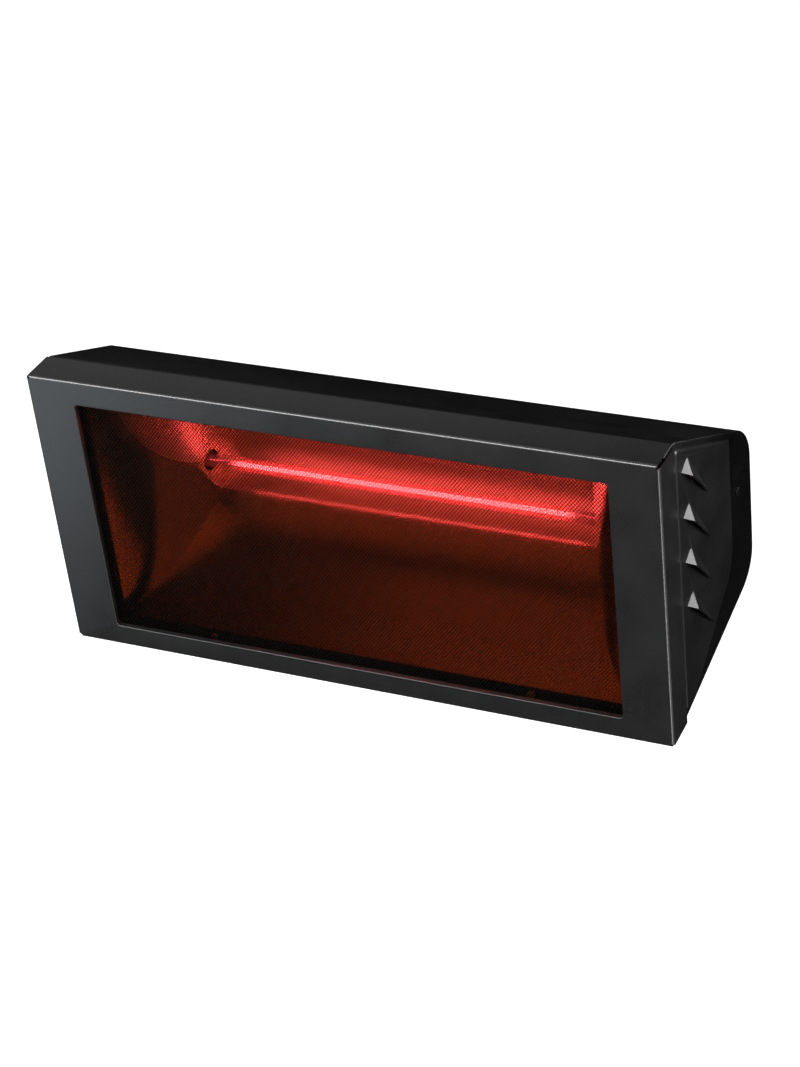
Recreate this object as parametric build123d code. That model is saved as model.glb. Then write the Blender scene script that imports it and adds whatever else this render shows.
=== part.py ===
from build123d import *
import math
import os

os.makedirs("parts", exist_ok=True)

# Wall-mounted infrared heater: a sheet-metal head with one quartz lamp in a polished
# reflector trough, behind a glass pane and a fine wire mesh, on a tilting wall bracket.
#
# Every piece is drawn in the head's own frame, in millimetres: X to the right as seen from
# in front, Y the depth behind the front face, Z up from the lamp's axis. The exported part
# has its origin at the middle of the wall bracket's hole pattern, on the wall's surface.

# ---- Front bezel and window ----
BEZEL_WIDTH = 450.0
BEZEL_HEIGHT = 216.5
BEZEL_DEPTH = 26.5
BEZEL_SHEET = 1.2
BEZEL_CORNER = 2.0
WINDOW_WIDTH = 380.6
WINDOW_HEIGHT = 181.4
WINDOW_Z = -1.05
WINDOW_CORNER = 2.5
WINDOW_LIP = 4.0
WINDOW_LIP_ROUND = 0.96
BEZEL_SCREW_PLACES = (-160.0, 0.0, 160.0)
BEZEL_SCREW_Y = 21.0

# ---- Stack behind the window ----
PANE_WIDTH = 404.0
PANE_HEIGHT = 202.0
PANE_CORNER = 5.0
RIM_OVERLAP = 2.5
MESH_THICK = 1.0
GASKET_THICK = 2.0
PANE_THICK = 4.0
MESH_Y = WINDOW_LIP
GASKET_Y = MESH_Y + MESH_THICK
PANE_Y = GASKET_Y + GASKET_THICK
CLIP_Y = PANE_Y + PANE_THICK
NET_PITCH = 17.4
NET_WIRE = 1.8
NET_SMALLEST_GAP = 12.0
CLIP_THICK = 1.2
CLIP_LENGTH = 20.0
CLIP_WIDTH = 12.0
CLIP_CORNER = 2.0
CLIP_OVERHANG = 5.0
CLIP_X = 209.0
CLIP_HEIGHTS = (-62.0, 0.0, 62.0)
PILLAR_RADIUS = 4.5
PILLAR_THREAD = 8.0

# ---- Body: a sheet wrapped over the top, back and bottom, between two side panels ----
BODY_SHEET = 1.2
BODY_FRONT = 12.0
COLLAR_HALF_HEIGHT = 106.75
TOP_BEND_Y = 30.0
BOTTOM_BEND_Y = 24.5
BACK_Y = 136.0
BACK_TOP_Z = 56.6
BACK_BOTTOM_Z = -52.1
BACK_RADIUS = 31.0
BEND_RADIUS = 3.0
COLLAR_HALF_WIDTH = 223.5
FLARE_START = BEZEL_DEPTH
FLARE_SLOPE = 0.122
INNER_BACK = BACK_Y - BODY_SHEET

# ---- Side panels: a raised field with four pressed louvres ----
FIELD_RAISE = 1.0
FIELD_FRONT = 28.0
FIELD_BACK = 105.0
FIELD_TOP_MARGIN = 4.0
FIELD_CORNER = 42.0
FIELD_LOWER_SLOPE = 1.05
FIELD_LOWER_Y = 42.0
FIELD_LOWER_MARGIN = 2.0
FIELD_TOE_DROP = 5.0
FIELD_ROUNDS = (2.0, 4.0, FIELD_CORNER, 8.0, 1.0)
RETURN_DEPTH = 10.0
RETURN_THICK = 1.0
RETURN_GAP = 0.1
LOUVRE_COUNT = 4
LOUVRE_PITCH = 33.7
LOUVRE_FIRST = (9.0, 82.0)
LOUVRE_END = (36.6, -35.8)
LOUVRE_BACK = (9.7, 7.3)
LOUVRE_CREST = (5.8, -4.4)
LOUVRE_HEIGHT = 6.0
LOUVRE_ROOT = 0.6
PANEL_SCREW_Y = 115.0
PANEL_SCREW_Z = 20.0

# ---- Reflector trough and its curved ends ----
REFLECTOR_SHEET = 0.8
REFLECTOR_FRONT = 14.0
MOUTH_HALF_HEIGHT = 90.5
THROAT_Y = 96.0
THROAT_HALF_HEIGHT = 25.0
TROUGH_BACK = 121.5
END_FRONT_X = 190.0
END_MIDDLE = (161.0, 50.0)
END_BACK_X = 143.0
LIP_WIDTH = 10.0
LIP_END_GAP = 4.0
END_LIP_GAP = 2.0
LAMP_HOLE_RADIUS = 7.6
TAB_X = 120.0
TAB_Z = 97.5
TAB_WIDTH = 20.0
TAB_BELOW_SCREW = 5.0

# ---- Lamp and lampholders ----
LAMP_Y = 89.0
TUBE_RADIUS = 5.0
TUBE_WALL = 1.0
TUBE_HALF = 150.0
TUBE_END_WALL = 2.0
FILAMENT_HALF = 132.0
FILAMENT_RADIUS = 1.6
LEAD_RADIUS = 0.5
PINCH_END = 165.0
PINCH_HALF = (1.6, 4.5)
CAP_START = 158.0
CAP_END = 171.0
CAP_HALF = (3.8, 5.6)
CAP_ROUND = 1.5
CONTACT_END = 173.0
CONTACT_RADIUS = 2.2
HOLDER_START = 166.0
HOLDER_POCKET_END = 174.0
HOLDER_GUIDE_END = 180.0
HOLDER_END = 198.0
HOLDER_HALF_Y = 10.0
HOLDER_HALF_Z = 12.0
HOLDER_CHAMFER = 1.5
HOLDER_POCKET_RADIUS = 7.4
HOLDER_SCREW_DEPTH = 5.0
PLUNGER_RADIUS = 2.5
PLUNGER_COLLAR_START = 182.0
PLUNGER_COLLAR_THICK = 2.0
PLUNGER_COLLAR_RADIUS = 4.6
PLUNGER_TAIL_RADIUS = 1.5
PLUNGER_TAIL_LENGTH = 6.0
SPRING_OUTER = 4.2
SPRING_INNER = 3.0
TERMINAL_THICK = 1.2
TERMINAL_HALF = 8.0
TERMINAL_TAB_LENGTH = 8.0
TERMINAL_TAB_HALF = 3.0
SHELF_THICK = 1.2
SHELF_X = (172.0, 196.0)
SHELF_FRONT = 76.0
SHELF_DROP = 32.0
BRACKET_SCREW_X = (178.0, 190.0)
BRACKET_SCREW_Z = -23.0

# ---- Heat shield between trough and back wall ----
SHIELD_Y = 126.8
SHIELD_THICK = 0.8
SHIELD_WIDTH = 280.0
SHIELD_HEIGHT = 76.0
SHIELD_CORNER = 6.0
SPACER_X = 100.0
SPACER_RADIUS = 5.0

# ---- Wiring: terminal block, earth stud, leads and cable gland ----
BLOCK_X = 188.0
BLOCK_Z = 27.0
BLOCK_WIDTH = 32.0
BLOCK_DEPTH = 15.0
BLOCK_HEIGHT = 18.0
BLOCK_FRONT = INNER_BACK - BLOCK_DEPTH
POLE_PITCH = 10.0
POLES = (BLOCK_X - POLE_PITCH, BLOCK_X, BLOCK_X + POLE_PITCH)
BLOCK_SCREW_PLACES = (BLOCK_X - POLE_PITCH / 2, BLOCK_X + POLE_PITCH / 2)
POLE_WELL_RADIUS = 2.8
POLE_WELL_DEPTH = 4.0
CLAMP_SCREW_SINK = 2.5
BLOCK_SCREW_SINK = 3.0
ENTRY_Y = 128.0
ENTRY_GAP = 0.4
LEAD_TUBE = 1.3
LEAD_LEVEL = 8.0
TAB_JOINT_Y = LAMP_Y + 10.0
EARTH_X = 163.0
EARTH_NUT_FLATS = 7.0
EARTH_NUT_THICK = 3.2
EARTH_RING_THICK = 1.0
EARTH_RING_RADIUS = 4.0
EARTH_TAIL_X = (EARTH_X + 3.5, EARTH_X + 9.0)
EARTH_TAIL_HALF = 1.5
GLAND_X = 210.0
GLAND_Z = -10.0
GLAND_BORE = 6.2
GLAND_THREAD = 10.0
GLAND_FLATS = 24.0
GLAND_FLANGE = 5.0
GLAND_INSIDE = 9.0
GLAND_COLLET_RADIUS = 8.6
GLAND_COLLET_LENGTH = 8.0
LOCK_NUT_THICK = 4.0
DOME_NUT_START = BACK_Y + GLAND_FLANGE + 0.2
DOME_NUT_FLATS = 22.0
DOME_NUT_LENGTH = 8.0
DOME_NUT_DEPTH = 9.0
DOME_RADII = (10.8, 7.8)
DOME_LENGTH = 8.0
SEAL_START = BACK_Y + 8.0
SEAL_LENGTH = 12.0
SEAL_BORE = 4.0

# ---- Tilting mount ----
PIVOT_Y = 162.0
PIVOT_Z = -18.0
BOLT_RADIUS = 4.0
LUG_OUTER = 46.0
LUG_SHEET = 2.0
LUG_ROUND = 11.0
CHANNEL_HALF_HEIGHT = 20.0
RIVET_X = 32.0
RIVET_HEIGHTS = (PIVOT_Z - 13.0, PIVOT_Z + 13.0)
RIVET_RADIUS = 2.0
RIVET_INNER_HEAD = (3.2, 1.2)
RIVET_OUTER_HEAD = (3.9, 1.4)
RIVET_ROUND = 0.9
EAR_INNER = 47.0
EAR_SHEET = 3.0
EAR_ROUND = 12.0
EAR_OUTER = EAR_INNER + EAR_SHEET
WALL_Y = 196.0
PLATE_Z = -26.0
PLATE_HEIGHT = 60.0
WALL_HOLE_X = 30.0
WALL_HOLE_Z = 18.0
WALL_HOLE_RADIUS = 3.25
WASHER_THICK = 1.5
WASHER_RADIUS = 8.5
FIBRE_WASHER_RADIUS = 9.5
BOLT_HEAD_FLATS = 13.0
BOLT_HEAD_HEIGHT = 5.3
BOLT_END = 64.0
KNOB_RADIUS = 18.0
KNOB_LOBES = 5
KNOB_LOBE_RADIUS = 5.0
KNOB_WAIST = 14.0
KNOB_LENGTH = 15.0
KNOB_CHAMFER = 1.2
KNOB_SKIN = 1.0
BUSH_RADIUS = 6.5
BUSH_LENGTH = 14.0

# ---- Screws: head radius, head height, shank radius and length under the head ----
CLIP_SCREW = (3.5, 1.8, 1.55, 8.0)
BEZEL_SCREW = (3.8, 1.9, 1.75, 7.0)
PANEL_SCREW = (3.2, 1.0, 1.7, 8.0)
REFLECTOR_SCREW = (3.0, 1.6, 1.6, 6.0)
SHIELD_SCREW = (3.8, 2.2, 2.0, 10.7)
HOLDER_SCREW = (2.7, 1.6, 1.45, 5.5)
BRACKET_SCREW = (3.8, 2.2, 1.9, 6.0)
CLAMP_SCREW = (2.4, 1.4, 1.0, 0.8)
BLOCK_SCREW = (2.0, 1.4, 1.5, 14.5)
EARTH_SCREW = (3.8, 2.2, 2.0, 8.0)
HEAD_ROUND_SHARE = 0.55
SLOT_LENGTH_SHARE = 1.3
SLOT_WIDTH = 0.8
SLOT_DEPTH = 0.6

# ---- Gaps round what turns, slides or is threaded, and round what only passes through ----
RUNNING_GAP = 0.05
HOLE_GAP = 0.1
LOOSE_GAP = 0.4
THIN_OVERRUN = 0.01

RIGHT = (1, 0, 0)
BACK = (0, 1, 0)
FRONT = (0, -1, 0)
UP = (0, 0, 1)
DOWN = (0, 0, -1)
BOTTOM_ALIGN = (Align.CENTER, Align.CENTER, Align.MIN)
OVERRUN = 1.0


# ---- Helpers ----
def slab_x(outline, start, width):
    """Extrude a (Y, Z) outline along X."""
    return extrude(Plane.YZ.offset(start) * outline, width)


def slab_y(outline, start, depth):
    """Extrude an (X, Z) outline backwards along Y."""
    return extrude(Plane.XZ.offset(-start) * outline, -depth)


def slab_z(outline, start, height):
    """Extrude an (X, Y) outline along Z."""
    return extrude(Plane.XY.offset(start) * outline, height)


def block(x_span, y_span, z_span):
    """A box between two limits on each axis."""
    centre = [(low + high) / 2 for low, high in (x_span, y_span, z_span)]
    sizes = [high - low for low, high in (x_span, y_span, z_span)]
    return Pos(*centre) * Box(*sizes)


def rod(start, direction, radius, length):
    """A cylinder that starts at a point and runs along a direction."""
    return Plane(start, z_dir=direction) * Cylinder(radius, length, align=BOTTOM_ALIGN)


def drill(seat, direction, radius, depth):
    """A hole's cylinder: it starts before the seat and ends past the depth by the overrun."""
    start = Vector(*seat) - Vector(*direction) * OVERRUN
    return rod(tuple(start), direction, radius, depth + 2 * OVERRUN)


def shank_radius(screw):
    """The radius of a screw's shank."""
    return screw[2]


def pan_screw(seat, direction, screw):
    """A pan-head screw: the head stands on the seat, the shank runs the other way."""
    head, head_height, shank, length = screw
    outward = Vector(*direction)
    top = rod(seat, direction, head, head_height)
    rim = top.edges().group_by(Axis(seat, direction))[-1]
    top = fillet(rim, head_height * HEAD_ROUND_SHARE)
    slot_plane = Plane(Vector(*seat) + outward * head_height, z_dir=direction)
    slot = slot_plane * Box(head * SLOT_LENGTH_SHARE, SLOT_WIDTH, 2 * SLOT_DEPTH)
    return top - slot + rod(seat, tuple(-outward), shank, length)


def mirrored(shape):
    """The left-hand copy of a right-hand piece."""
    return mirror(shape, about=Plane.YZ)


def both_sides(shape):
    """The right-hand piece and its left-hand copy as separate solids of one group."""
    return Compound(children=list(shape.solids()) + list(mirrored(shape).solids()))


def group(pieces):
    """Like pieces that lie apart, kept as separate solids of one node."""
    return Compound(children=[solid for piece in pieces for solid in piece.solids()])


def hexagon(across_flats):
    """A hexagon outline by its width across the flats, with flats on its left and right."""
    return RegularPolygon(across_flats / math.sqrt(3), 6, rotation=30)


def tube_along(points, bends, radius):
    """A round lead through the given points, with one bend radius for each corner."""
    path = FilletPolyline(*points, radius=bends)
    return sweep(Plane(path @ 0, z_dir=path % 0) * Circle(radius), path=path)


# ---- Outlines that several pieces share ----
def body_outline(front):
    """The D-shaped side view of the body's outer surface, open towards the front."""
    corners = (
        (front, COLLAR_HALF_HEIGHT),
        (TOP_BEND_Y, COLLAR_HALF_HEIGHT),
        (BACK_Y, BACK_TOP_Z),
        (BACK_Y, BACK_BOTTOM_Z),
        (BOTTOM_BEND_Y, -COLLAR_HALF_HEIGHT),
        (front, -COLLAR_HALF_HEIGHT),
    )
    radii = (0, BEND_RADIUS, BACK_RADIUS, BACK_RADIUS, BEND_RADIUS, 0)
    return make_face(FilletPolyline(*corners, radius=radii, close=True))


def inset_outline(inset):
    """The same side view, moved inwards by a distance and running on past the front."""
    return offset(body_outline(-BEZEL_DEPTH), -inset)


def half_width(y):
    """Half of the body's outer width at a depth: it flares towards the back."""
    return COLLAR_HALF_WIDTH + FLARE_SLOPE * max(0.0, y - FLARE_START)


def body_plan(inset):
    """The body seen from above, moved inwards by a distance on both sides."""
    far = BACK_Y + 20
    right = [(half_width(y) - inset, y) for y in (0, FLARE_START, far)]
    left = [(-x, y) for x, y in reversed(right)]
    return make_face(Polyline(*right, *left, close=True))


def side_layer(outline, outer_inset, inner_inset):
    """The part of a (Y, Z) outline between two depths below the right side's surface."""
    layer = slab_z(body_plan(outer_inset) - body_plan(inner_inset), -BEZEL_HEIGHT, 2 * BEZEL_HEIGHT)
    return slab_x(outline, 0, BEZEL_WIDTH) & layer


def window_outline(grow):
    """The window's opening in the bezel face, grown on every side."""
    size = (WINDOW_WIDTH + 2 * grow, WINDOW_HEIGHT + 2 * grow)
    return Pos(0, WINDOW_Z) * RectangleRounded(*size, WINDOW_CORNER + grow)


def pane_outline():
    """The outline of the glass, mesh and gasket."""
    return Pos(0, WINDOW_Z) * RectangleRounded(PANE_WIDTH, PANE_HEIGHT, PANE_CORNER)


def trough_outline():
    """The cavity of the reflector seen from the side: two straight sheets and a round back."""
    upper = (REFLECTOR_FRONT, MOUTH_HALF_HEIGHT)
    lower = (REFLECTOR_FRONT, -MOUTH_HALF_HEIGHT)
    throat_top = (THROAT_Y, THROAT_HALF_HEIGHT)
    throat_bottom = (THROAT_Y, -THROAT_HALF_HEIGHT)
    edges = [
        Line(upper, throat_top),
        ThreePointArc(throat_top, (TROUGH_BACK, 0), throat_bottom),
        Line(throat_bottom, lower),
        Line(lower, upper),
    ]
    return make_face(edges)


def trough_plan(grow):
    """The cavity of the reflector seen from above: its two ends curve in towards the back."""
    middle_x, middle_y = END_MIDDLE
    front = (END_FRONT_X + grow, REFLECTOR_FRONT)
    middle = (middle_x + grow, middle_y)
    back = (END_BACK_X + grow, TROUGH_BACK + 2)
    edges = [ThreePointArc(front, middle, back)]
    edges.append(Line(back, (-back[0], back[1])))
    edges.append(ThreePointArc((-back[0], back[1]), (-middle[0], middle[1]), (-front[0], front[1])))
    edges.append(Line((-front[0], front[1]), front))
    return make_face(edges)


# ---- Front: bezel, mesh, glass and what holds them ----
def is_window_edge(edge):
    """Whether an edge of the bezel's face lies round the window and not at the outside."""
    middle = edge.center()
    margin = BEZEL_DEPTH / 2
    return abs(middle.X) < BEZEL_WIDTH / 2 - margin and abs(middle.Z) < BEZEL_HEIGHT / 2 - BEZEL_CORNER * 3


def front_bezel():
    """Folded frame: flat face, flanges to the back, a lip round the window, six pillars."""
    outer_x = BEZEL_WIDTH / 2
    outer_z = BEZEL_HEIGHT / 2
    outer = block((-outer_x, outer_x), (0, BEZEL_DEPTH), (-outer_z, outer_z))
    outer = fillet(outer.edges().group_by(Axis.Y)[0], BEZEL_CORNER)
    inner_x = outer_x - BEZEL_SHEET
    inner_z = outer_z - BEZEL_SHEET
    inner = block((-inner_x, inner_x), (BEZEL_SHEET, BEZEL_DEPTH + OVERRUN), (-inner_z, inner_z))
    frame = outer - inner + slab_y(window_outline(BEZEL_SHEET), 0, WINDOW_LIP)
    frame -= slab_y(window_outline(0), -OVERRUN, WINDOW_LIP + 2 * OVERRUN)
    rim = [edge for edge in frame.edges().group_by(Axis.Y)[0] if is_window_edge(edge)]
    frame = fillet(rim, WINDOW_LIP_ROUND)
    thread = shank_radius(CLIP_SCREW) + RUNNING_GAP
    for side in (-1, 1):
        for z in CLIP_HEIGHTS:
            x = side * CLIP_X
            frame += rod((x, BEZEL_SHEET, z), BACK, PILLAR_RADIUS, CLIP_Y - BEZEL_SHEET)
            frame -= rod((x, CLIP_Y - PILLAR_THREAD, z), BACK, thread, PILLAR_THREAD + OVERRUN)
    for x in BEZEL_SCREW_PLACES:
        frame -= drill((x, BEZEL_SCREW_Y, -outer_z), UP, shank_radius(BEZEL_SCREW) + LOOSE_GAP, BEZEL_SHEET)
    return frame


def mesh_guard():
    """Flat wire net: square gaps turned by 45 degrees inside a plain rim."""
    opening = window_outline(RIM_OVERLAP)
    gap = NET_PITCH - NET_WIRE
    cell = Rot(0, 0, 45) * Rectangle(gap, gap)
    step = NET_PITCH / math.sqrt(2)
    columns = 2 * math.ceil(WINDOW_WIDTH / step / 2) + 3
    rows = 2 * math.ceil(WINDOW_HEIGHT / step / 2) + 3
    holes = []
    for row in range(rows):
        for column in range(row % 2, columns, 2):
            x = (column - (columns - 1) / 2) * step
            z = (row - (rows - 1) / 2) * step + WINDOW_Z
            piece = (Pos(x, z) * cell) & opening
            holes += [face for face in piece.faces() if face.area > NET_SMALLEST_GAP]
    print("mesh guard gaps:", len(holes))
    return slab_y(pane_outline() - holes, MESH_Y, MESH_THICK)


def glass_gasket():
    """Flat heat-proof gasket between the mesh's rim and the glass."""
    return slab_y(pane_outline() - window_outline(RIM_OVERLAP), GASKET_Y, GASKET_THICK)


def glass_pane():
    """Tinted glass-ceramic pane."""
    return slab_y(pane_outline(), PANE_Y, PANE_THICK)


def glass_clips():
    """Six flat spring clips that press the glass forwards."""
    clips = []
    for side in (-1, 1):
        for z in CLIP_HEIGHTS:
            outline = RectangleRounded(CLIP_LENGTH, CLIP_WIDTH, CLIP_CORNER)
            clip = slab_y(Pos(side * (CLIP_X - CLIP_OVERHANG), z) * outline, CLIP_Y, CLIP_THICK)
            hole_radius = shank_radius(CLIP_SCREW) + LOOSE_GAP
            clips.append(clip - drill((side * CLIP_X, CLIP_Y, z), BACK, hole_radius, CLIP_THICK))
    return group(clips)


def glass_clip_screws():
    """Six pan-head screws through the clips into the bezel's pillars."""
    seats = [(side * CLIP_X, CLIP_Y + CLIP_THICK, z) for side in (-1, 1) for z in CLIP_HEIGHTS]
    return group([pan_screw(seat, BACK, CLIP_SCREW) for seat in seats])


def bezel_screws():
    """Three pan-head screws through the bezel's bottom flange into the body's collar."""
    seats = [(x, BEZEL_SCREW_Y, -BEZEL_HEIGHT / 2) for x in BEZEL_SCREW_PLACES]
    return group([pan_screw(seat, DOWN, BEZEL_SCREW) for seat in seats])


# ---- Body ----
def reflector_tabs():
    """Four tabs inside the front of the body, each with a screw hole for the reflector."""
    tab_y = REFLECTOR_FRONT + REFLECTOR_SHEET
    tabs = []
    for side in (-1, 1):
        for level in (-1, 1):
            x = side * TAB_X
            ends = (TAB_Z - TAB_BELOW_SCREW, COLLAR_HALF_HEIGHT - BODY_SHEET / 2)
            z_span = sorted(level * end for end in ends)
            tab = block((x - TAB_WIDTH / 2, x + TAB_WIDTH / 2), (tab_y, tab_y + BODY_SHEET), z_span)
            thread = shank_radius(REFLECTOR_SCREW) + HOLE_GAP
            tabs.append(tab - drill((x, tab_y, level * TAB_Z), BACK, thread, BODY_SHEET))
    return tabs


def back_wall_holes():
    """Place and radius of every hole in the back wall: (x, z, radius)."""
    holes = [(x, BLOCK_Z, shank_radius(BLOCK_SCREW) + HOLE_GAP) for x in BLOCK_SCREW_PLACES]
    holes.append((EARTH_X, 0, shank_radius(EARTH_SCREW) + HOLE_GAP))
    holes.append((GLAND_X, GLAND_Z, GLAND_THREAD + 2 * HOLE_GAP))
    for side in (-1, 1):
        for x in BRACKET_SCREW_X:
            holes.append((side * x, BRACKET_SCREW_Z, shank_radius(BRACKET_SCREW) + HOLE_GAP))
        holes.append((side * SPACER_X, 0, shank_radius(SHIELD_SCREW) + HOLE_GAP))
        for z in RIVET_HEIGHTS:
            holes.append((side * RIVET_X, z, RIVET_RADIUS + RUNNING_GAP))
    return holes


def body_shell():
    """One sheet folded over the top, back and bottom, with tabs for the reflector."""
    sheet = body_outline(BODY_FRONT) - inset_outline(BODY_SHEET)
    wrap = slab_x(sheet, -BEZEL_WIDTH, 2 * BEZEL_WIDTH)
    wrap &= slab_z(body_plan(BODY_SHEET), -BEZEL_HEIGHT, 2 * BEZEL_HEIGHT)
    for tab in reflector_tabs():
        wrap += tab
    for x, z, radius in back_wall_holes():
        wrap -= drill((x, INNER_BACK, z), BACK, radius, BODY_SHEET)
    thread = shank_radius(BEZEL_SCREW) + RUNNING_GAP
    for x in BEZEL_SCREW_PLACES:
        wrap -= drill((x, BEZEL_SCREW_Y, -COLLAR_HALF_HEIGHT), UP, thread, BODY_SHEET)
    return wrap


def field_outline(inset):
    """The raised field of a side panel: straight top and back, then a curve down to the front."""
    top_slope = (COLLAR_HALF_HEIGHT - BACK_TOP_Z) / (BACK_Y - TOP_BEND_Y)
    bottom_slope = (BACK_BOTTOM_Z + COLLAR_HALF_HEIGHT) / (BACK_Y - BOTTOM_BEND_Y)
    back = FIELD_BACK - inset
    front = FIELD_FRONT + inset
    top_z = COLLAR_HALF_HEIGHT - FIELD_TOP_MARGIN - inset
    low_rise = bottom_slope * (FIELD_LOWER_Y - BOTTOM_BEND_Y)
    lower_z = low_rise - COLLAR_HALF_HEIGHT + FIELD_LOWER_MARGIN + inset
    corners = (
        (front, top_z - top_slope * max(0.0, front - TOP_BEND_Y)),
        (back, top_z - top_slope * (back - TOP_BEND_Y)),
        (back, lower_z + FIELD_LOWER_SLOPE * (back - FIELD_LOWER_Y)),
        (FIELD_LOWER_Y, lower_z),
        (front, lower_z - FIELD_TOE_DROP),
    )
    return make_face(FilletPolyline(*corners, radius=FIELD_ROUNDS, close=True))


def louvre_solid(plane, sink, shift):
    """One louvre's outer form on the field's plane, or, sunk and shifted, its hollow."""
    levels = (-4 * sink - LOUVRE_ROOT, -sink)
    foot = ((0, 0), LOUVRE_END, LOUVRE_BACK)
    base = [(u + shift.X, v + shift.Y, level) for u, v in foot for level in levels]
    crest_u, crest_v = LOUVRE_CREST
    crest = (crest_u + shift.X, crest_v + shift.Y, LOUVRE_HEIGHT - sink)
    return plane * ConvexPolyhedron([*base, crest])


def side_panel_right():
    """Flared D-shaped plate: return flange, raised field, and louvres opening down-forwards."""
    outline = body_outline(BODY_FRONT)
    panel = side_layer(outline, 0, BODY_SHEET)
    flange_outer = BODY_SHEET + RETURN_GAP
    rim = inset_outline(flange_outer) - inset_outline(flange_outer + RETURN_THICK)
    panel += side_layer(rim & outline, BODY_SHEET / 2, BODY_SHEET + RETURN_DEPTH)
    panel += side_layer(field_outline(0), -FIELD_RAISE, BODY_SHEET / 2)
    hollow_start = BODY_SHEET - FIELD_RAISE
    panel -= side_layer(field_outline(BODY_SHEET), hollow_start, BODY_SHEET + THIN_OVERRUN)
    origin = (COLLAR_HALF_WIDTH + FIELD_RAISE, FLARE_START, 0)
    plane = Plane(origin, x_dir=(FLARE_SLOPE, 1, 0), z_dir=(1, -FLARE_SLOPE, 0))
    mouth = Vector(*LOUVRE_END).normalized().rotate(Axis.Z, -90) * BODY_SHEET
    hoods = []
    hollows = []
    first_u, first_v = LOUVRE_FIRST
    for index in range(LOUVRE_COUNT):
        place = plane * Pos(first_u, first_v - index * LOUVRE_PITCH, 0)
        hoods.append(louvre_solid(place, 0, Vector(0, 0)))
        hollows.append(louvre_solid(place, BODY_SHEET, mouth))
    panel = panel + hoods - hollows
    seat = (half_width(PANEL_SCREW_Y) - BODY_SHEET, PANEL_SCREW_Y, PANEL_SCREW_Z)
    return panel - drill(seat, RIGHT, shank_radius(PANEL_SCREW) + LOOSE_GAP, BODY_SHEET)


def side_panel_screws():
    """One low pan-head screw in the border of each side panel."""
    length = math.hypot(1, FLARE_SLOPE)
    direction = (1 / length, -FLARE_SLOPE / length, 0)
    seat = (half_width(PANEL_SCREW_Y), PANEL_SCREW_Y, PANEL_SCREW_Z)
    return both_sides(pan_screw(seat, direction, PANEL_SCREW))


# ---- Reflector ----
def reflector_trough():
    """Polished trough of one folded sheet, with a lip at its front edges."""
    cavity = trough_outline()
    wall = offset(cavity, REFLECTOR_SHEET) - cavity
    wall &= Pos(REFLECTOR_FRONT + BACK_Y / 2, 0) * Rectangle(BACK_Y, 2 * BEZEL_HEIGHT)
    sheet = slab_x(wall, -BEZEL_WIDTH, 2 * BEZEL_WIDTH)
    sheet &= slab_z(trough_plan(REFLECTOR_SHEET), -BEZEL_HEIGHT, 2 * BEZEL_HEIGHT)
    lip_x = END_FRONT_X - LIP_END_GAP
    lip_y = (REFLECTOR_FRONT, REFLECTOR_FRONT + REFLECTOR_SHEET)
    hole_radius = shank_radius(REFLECTOR_SCREW) + LOOSE_GAP
    for level in (-1, 1):
        z_span = sorted((level * MOUTH_HALF_HEIGHT, level * (MOUTH_HALF_HEIGHT + LIP_WIDTH)))
        sheet += block((-lip_x, lip_x), lip_y, z_span)
        for side in (-1, 1):
            seat = (side * TAB_X, REFLECTOR_FRONT, level * TAB_Z)
            sheet -= drill(seat, BACK, hole_radius, REFLECTOR_SHEET)
    return sheet


def reflector_end_right():
    """Curved end plate with a hole for the lamp and a lip at its front edge."""
    ring = slab_z(trough_plan(REFLECTOR_SHEET) - trough_plan(0), -BEZEL_HEIGHT, 2 * BEZEL_HEIGHT)
    plate = ring & slab_x(trough_outline(), 0, BEZEL_WIDTH)
    lip_x = (END_FRONT_X, END_FRONT_X + LIP_WIDTH)
    lip_y = (REFLECTOR_FRONT, REFLECTOR_FRONT + REFLECTOR_SHEET)
    lip_z = MOUTH_HALF_HEIGHT - END_LIP_GAP
    plate += block(lip_x, lip_y, (-lip_z, lip_z))
    return plate - drill((END_BACK_X, LAMP_Y, 0), RIGHT, LAMP_HOLE_RADIUS, END_FRONT_X - END_BACK_X)


def reflector_screws():
    """Four low pan-head screws through the trough's lips into the body's tabs."""
    sides = (-1, 1)
    seats = [(side * TAB_X, REFLECTOR_FRONT, level * TAB_Z) for side in sides for level in sides]
    return group([pan_screw(seat, FRONT, REFLECTOR_SCREW) for seat in seats])


def heat_shield():
    """Flat bright sheet that keeps the trough's heat off the back wall."""
    outline = RectangleRounded(SHIELD_WIDTH, SHIELD_HEIGHT, SHIELD_CORNER)
    shield = slab_y(outline, SHIELD_Y, SHIELD_THICK)
    for x in (-SPACER_X, SPACER_X):
        shield -= drill((x, SHIELD_Y, 0), BACK, shank_radius(SHIELD_SCREW) + HOLE_GAP, SHIELD_THICK)
    return shield


def heat_shield_spacers():
    """Two ceramic spacers between heat shield and back wall."""
    start = SHIELD_Y + SHIELD_THICK
    seat = (SPACER_X, start, 0)
    depth = INNER_BACK - start
    bore = drill(seat, BACK, shank_radius(SHIELD_SCREW) + HOLE_GAP, depth)
    return both_sides(rod(seat, BACK, SPACER_RADIUS, depth) - bore)


def heat_shield_screws():
    """Two screws from behind through the spacers and the shield."""
    return both_sides(pan_screw((SPACER_X, BACK_Y, 0), BACK, SHIELD_SCREW))


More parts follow.
